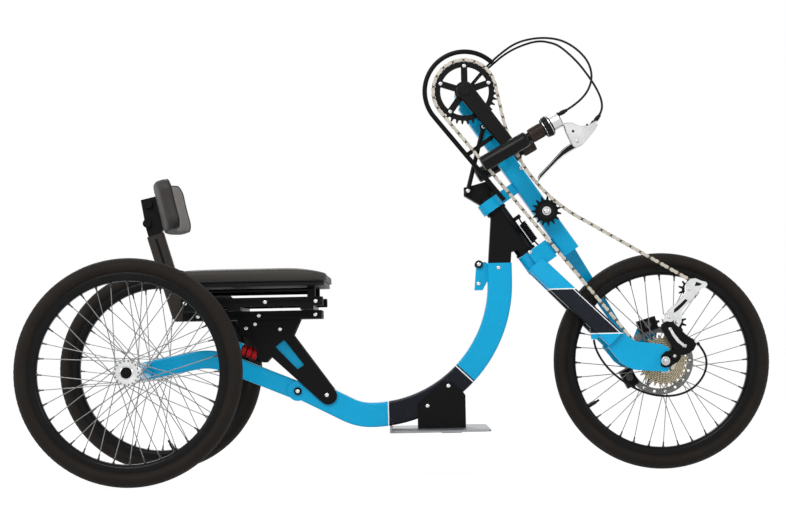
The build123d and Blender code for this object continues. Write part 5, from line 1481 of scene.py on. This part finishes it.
class FrameOperator(bpy.types.Operator):
    """Frame tubes, swing arm, rubber spring, brackets, foot tray and their bolts"""

    bl_idname = "handcycle.frame"
    bl_label = "Frame"

    def execute(self, context):
        dress(FINISHES["tube"], "main_tube")
        dress(FINISHES["frame"], "swing_arm", "accessory_clip")
        dress(
            FINISHES["black"], "head_post", "seat_plates", "seat_rails", "back_adjuster", "foot_bracket",
            "pivot_bolt",
        )
        dress(FINISHES["post"], "back_post")
        dress(FINISHES["steel"], "rear_axle")
        dress(FINISHES["tray"], "foot_tray")
        dress(FINISHES["plastic"], "seat_board")
        # Place along, height and distance from the centre plane of each pair
        bolts = (
            (-0.3407, 0.3538, 0.031), (-0.3617, 0.345, 0.031), (-0.2831, 0.3411, 0.031),
            (-0.1778, 0.1867, 0.031), (0.054, 0.157, 0.031), (0.103, 0.202, 0.031),
            (-0.245, 0.197, 0.030), (0.2251, 0.473, 0.025), (0.180, 0.482, 0.0209),
            (0.1785, 0.437, 0.014), (-0.195, 0.402, 0.150), (-0.309, 0.402, 0.150),
            (-0.42, 0.402, 0.150), (-0.49, 0.402, 0.150), (-0.20, 0.373, 0.057),
            (-0.33, 0.373, 0.057), (-0.47, 0.373, 0.057),
        )
        places = [(x, z, side * y) for x, z, y in bolts for side in (-1, 1)]
        screws("frame_bolts", places, "polished", "frame", "bright_steel")
        self.rubber_spring()
        self.end_caps()
        self.seat_web()
        self.clip_knob()
        self.post_grooves()
        return {"FINISHED"}

    def rubber_spring(self):
        """Three red discs with black washers between them."""
        start, end = Vector((-0.375, 0, 0.296)), Vector((-0.337, 0, 0.281))
        way = (end - start).normalized()
        length = (end - start).length - 0.0006
        shape = Shape(FINISHES["spring"])
        part = length / 3
        for disc in range(3):
            base = 0.0003 + disc * part
            profile = [(base + 0.0006, 0.0002), (base + 0.0006, 0.0115), (base + 0.0016, 0.0128)]
            profile += [
                (base + part * 0.5, 0.0130), (base + part - 0.0026, 0.0128),
                (base + part - 0.0016, 0.0115), (base + part - 0.0016, 0.0002),
            ]
            shape.turned(profile, start, way, 40)
        shape.use(FINISHES["plastic"])
        for disc in range(2):
            base = 0.0003 + (disc + 1) * part
            shape.turned(
                [
                    (base - 0.0018, 0.0002), (base - 0.0018, 0.0126),
                    (base + 0.0008, 0.0126), (base + 0.0008, 0.0002),
                ],
                start, way, 40,
            )
        shape.piece("rubber_spring_discs", "frame", "spring_rubber", "rubber_spring")

    def end_caps(self):
        shape = Shape(FINISHES["plastic"])
        for side in (-1, 1):
            for y, z in ((0.042, 0.373), (0.135, 0.402)):
                x = -0.188 if z < 0.4 else -0.182
                corners = [
                    (x - 0.004, z - 0.0098), (x + 0.0026, z - 0.0098), (x + 0.0034, z - 0.008),
                    (x + 0.0034, z + 0.008), (x + 0.0026, z + 0.0098), (x - 0.004, z + 0.0098),
                ]
                shape.plate(corners, side * (y - 0.0148), side * (y + 0.0148), 0.0008)
        shape.piece("rail_end_caps", "frame", "black_plastic")

    def seat_web(self):
        """Painted web between the seat plates, seen through their windows."""
        shape = Shape(FINISHES["frame"])
        outline = [
            (-0.300, 0.302), (-0.286, 0.316), (-0.268, 0.318),
            (-0.228, 0.256), (-0.246, 0.244), (-0.266, 0.262),
        ]
        shape.plate(outline, -0.0248, 0.0248, 0.001)
        shape.piece("seat_web", "frame", "frame_paint")

    def clip_knob(self):
        """Round knob on each side of the accessory clip."""
        shape = Shape(FINISHES["plastic"])
        knob = [
            (0.0142, 0.0072), (0.0142, 0.0084), (0.0152, 0.0092),
            (0.0196, 0.0092), (0.0208, 0.0080), (0.0208, 0.0002),
        ]
        for side in (-1, 1):
            shape.turned(sided(side, knob), Vector((0.1800, 0, 0.4820)), LEFT, 32)
        shape.piece("clip_knob", "frame", "black_plastic")

    def post_grooves(self):
        """Black strip along each side of the back post: painted shade where a groove is."""
        shape = Shape(FINISHES["black"])
        lean = Vector((-sin(radians(16.6)), 0, cos(radians(16.6))))
        foot = Vector((-0.514, 0, 0.374))
        for side in (-1, 1):
            low, high = foot + lean * 0.075, foot + lean * 0.190
            outline = [
                (low.x - 0.003, low.z), (low.x + 0.003, low.z),
                (high.x + 0.003, high.z), (high.x - 0.003, high.z),
            ]
            # Painted shade: a black strip stands for the shade in each groove.
            shape.plate(outline, side * 0.0122, side * 0.0130, 0.0002)
        shape.piece("post_grooves", "frame", "head_black")


class SeatOperator(bpy.types.Operator):
    """Upholstered cushion and curved back pad with its adjuster's knobs"""

    bl_idname = "handcycle.seat"
    bl_label = "Seat"

    def execute(self, context):
        sizes = context.scene.handcycle_seat
        self.cushion(sizes)
        self.pad(sizes)
        self.knobs()
        return {"FINISHED"}

    def outline(self, half_x, half_y, corner, steps=12):
        """Points round a rectangle with round corners and slightly hollow sides."""
        points = []
        for quarter in range(4):
            sx, sy = ((1, 1), (-1, 1), (-1, -1), (1, -1))[quarter]
            for step in range(steps + 1):
                angle = pi / 2 * (quarter + step / steps)
                x = sx * (half_x - corner) + corner * cos(angle)
                y = sy * (half_y - corner) + corner * sin(angle)
                points.append((x, y))
            sides = 10
            ex, ey = points[-1]
            nx, ny = ((-1, 1), (-1, -1), (1, -1), (1, 1))[quarter]
            angle = pi / 2 * (quarter + 1)
            tx = nx * (half_x - corner) + corner * cos(angle)
            ty = ny * (half_y - corner) + corner * sin(angle)
            for step in range(1, sides):
                share = step / sides
                pull = 1 - 0.012 * sin(pi * share)
                points.append(((ex + (tx - ex) * share) * pull, (ey + (ty - ey) * share) * pull))
        return points

    def subdivide(self, made):
        modifier = made.modifiers.new("smooth", "SUBSURF")
        modifier.levels = 1
        modifier.render_levels = 1

    def welt(self, name, points, up, radius):
        """Sewn edge: a closed round tube along the points; up is at right angles to their line."""
        rings = []
        for index, point in enumerate(points):
            along = (points[(index + 1) % len(points)] - points[index - 1]).normalized()
            out = along.cross(up).normalized()
            turns = [2 * pi * step / 8 for step in range(8)]
            rings.append([point + (out * cos(turn) + up * sin(turn)) * radius for turn in turns])
        shape = Shape(FINISHES["welt"]).loft(rings, loop=True)
        settle(shape.object(name, 60), "frame", "upholstery")

    def cushion(self, sizes):
        rear, front, low, high = -0.512, -0.167, 0.4446, 0.479
        middle, half_x, half_y = (rear + front) / 2, (front - rear) / 2, 0.2
        ring = self.outline(half_x - 0.0015, half_y - 0.0015, sizes.corner)

        def top(x):
            share = max(0.0, (x - (front - 0.085)) / 0.085)
            return high - 0.0008 - 0.010 * share**1.6 - 0.002 * max(0.0, (rear + 0.08 - x) / 0.08)

        layers = [
            (0.0, 0.02), (0.0, 0.6), (0.0, 0.968), (0.06, 0.986), (0.18, 0.997),
            (0.38, 1.0), (0.58, 1.0), (0.74, 0.997), (0.86, 0.990), (0.95, 0.978),
        ]
        rings = []
        for rise, scale in layers:
            points = []
            for x, y in ring:
                height = low + 0.0004 + (top(middle + x) - sizes.crown - low) * rise
                points.append(Vector((middle + x * scale, y * scale, height)))
            rings.append(points)
        for step in range(1, 13):
            share = 1 - step / 12.4
            scale = 0.975 * share
            lift = 1 - share**6
            points = []
            for x, y in ring:
                px, py = middle + x * scale, y * scale
                edge = low + 0.0004 + (top(middle + x) - sizes.crown - low) * 0.96
                points.append(Vector((px, py, edge + (top(px) - edge) * lift**0.6)))
            rings.append(points)
        shape = Shape(FINISHES["cushion"]).loft(rings)
        made = shape.object("seat_cushion_covered", 70)
        self.subdivide(made)
        settle(made, "frame", "upholstery", "seat_cushion")
        welt = self.outline(half_x - 0.0032, half_y - 0.0032, sizes.corner)
        points = [Vector((middle + x, y, low + 0.0046)) for x, y in welt]
        self.welt("seat_cushion_welt", points, UP, sizes.welt)

    def pad(self, sizes):
        """Curved pad: rings from the back to the front, bent round the rider's back."""
        ring = self.outline(0.0585, 0.1385, 0.026)

        bow_radius = 0.42

        def bow(y):
            return bow_radius - sqrt(bow_radius**2 - y * y)

        def place(up, y, depth):
            return PAD_MIDDLE + PAD_UP * up + Vector((0, y, 0)) + PAD_AHEAD * (bow(y) + depth)

        layers = [
            (0.02, 0.0006), (0.5, 0.0006), (0.93, 0.0010), (0.975, 0.004), (0.995, 0.011),
            (1.0, 0.018), (0.995, 0.024), (0.975, 0.0285), (0.945, 0.031), (0.88, 0.0330),
            (0.76, 0.0344), (0.6, 0.0351), (0.42, 0.0354), (0.24, 0.0355), (0.06, 0.0355),
        ]
        rings = [[place(up * scale, y * scale, depth) for up, y in ring] for scale, depth in layers]
        made = Shape(FINISHES["pad"]).loft(rings).object("back_pad_covered", 70)
        self.subdivide(made)
        settle(made, "frame", "upholstery", "back_pad")
        points = [place(up * 0.962, y * 0.962, 0.0302) for up, y in ring]
        self.welt("back_pad_welt", points, PAD_AHEAD, sizes.welt * 0.8)

    def knobs(self):
        """Star knobs on both sides of the adjuster."""
        shape = Shape(FINISHES["plastic"])

        def lobes(outer):
            return lambda angle: outer - 0.0011 * (1 + cos(6 * angle))

        knob = [
            (0.0126, 0.006), (0.015, 0.0065), (0.0155, lobes(0.0098)), (0.0165, lobes(0.0100)),
            (0.0228, lobes(0.0098)), (0.0238, 0.0062), (0.0238, 0.0002),
        ]
        for x, z in ((-0.585, 0.637), (-0.588, 0.592)):
            for side in (-1, 1):
                shape.turned(sided(side, knob), Vector((x, 0, z)), LEFT, 48)
        shape.piece("adjuster_knobs", "frame", "black_plastic")


GROUPS = {
    "paint": HandcyclePaint,
    "wheels": HandcycleWheels,
    "drive": HandcycleDrive,
    "seat": HandcycleSeat,
    "stage": HandcycleStage,
}
STEPS = ("stage", "cables", "wheels", "drive", "grips", "steering", "frame", "seat")


class HandcyclePanel(bpy.types.Panel):
    """Buttons for the handcycle's pieces and their sizes"""

    bl_idname = "VIEW3D_PT_handcycle"
    bl_label = "Handcycle"
    bl_space_type = "VIEW_3D"
    bl_region_type = "UI"
    bl_category = "Handcycle"

    def draw(self, context):
        for title, kind in GROUPS.items():
            for name in kind.__annotations__:
                self.layout.prop(getattr(context.scene, "handcycle_" + title), name)
        for step in STEPS:
            self.layout.operator("handcycle." + step)


CLASSES = (
    *GROUPS.values(),
    StageOperator, CablesOperator, WheelsOperator, DriveOperator, GripsOperator,
    SteeringOperator, FrameOperator, SeatOperator, HandcyclePanel,
)


def register():
    for kind in CLASSES:
        bpy.utils.register_class(kind)
    for name, kind in GROUPS.items():
        setattr(bpy.types.Scene, "handcycle_" + name, PointerProperty(type=kind))


def unregister():
    for name in GROUPS:
        delattr(bpy.types.Scene, "handcycle_" + name)
    for kind in reversed(CLASSES):
        bpy.utils.unregister_class(kind)


def main():
    register()
    for step in STEPS:
        getattr(bpy.ops.handcycle, step)()


if __name__ == "__main__":
    main()
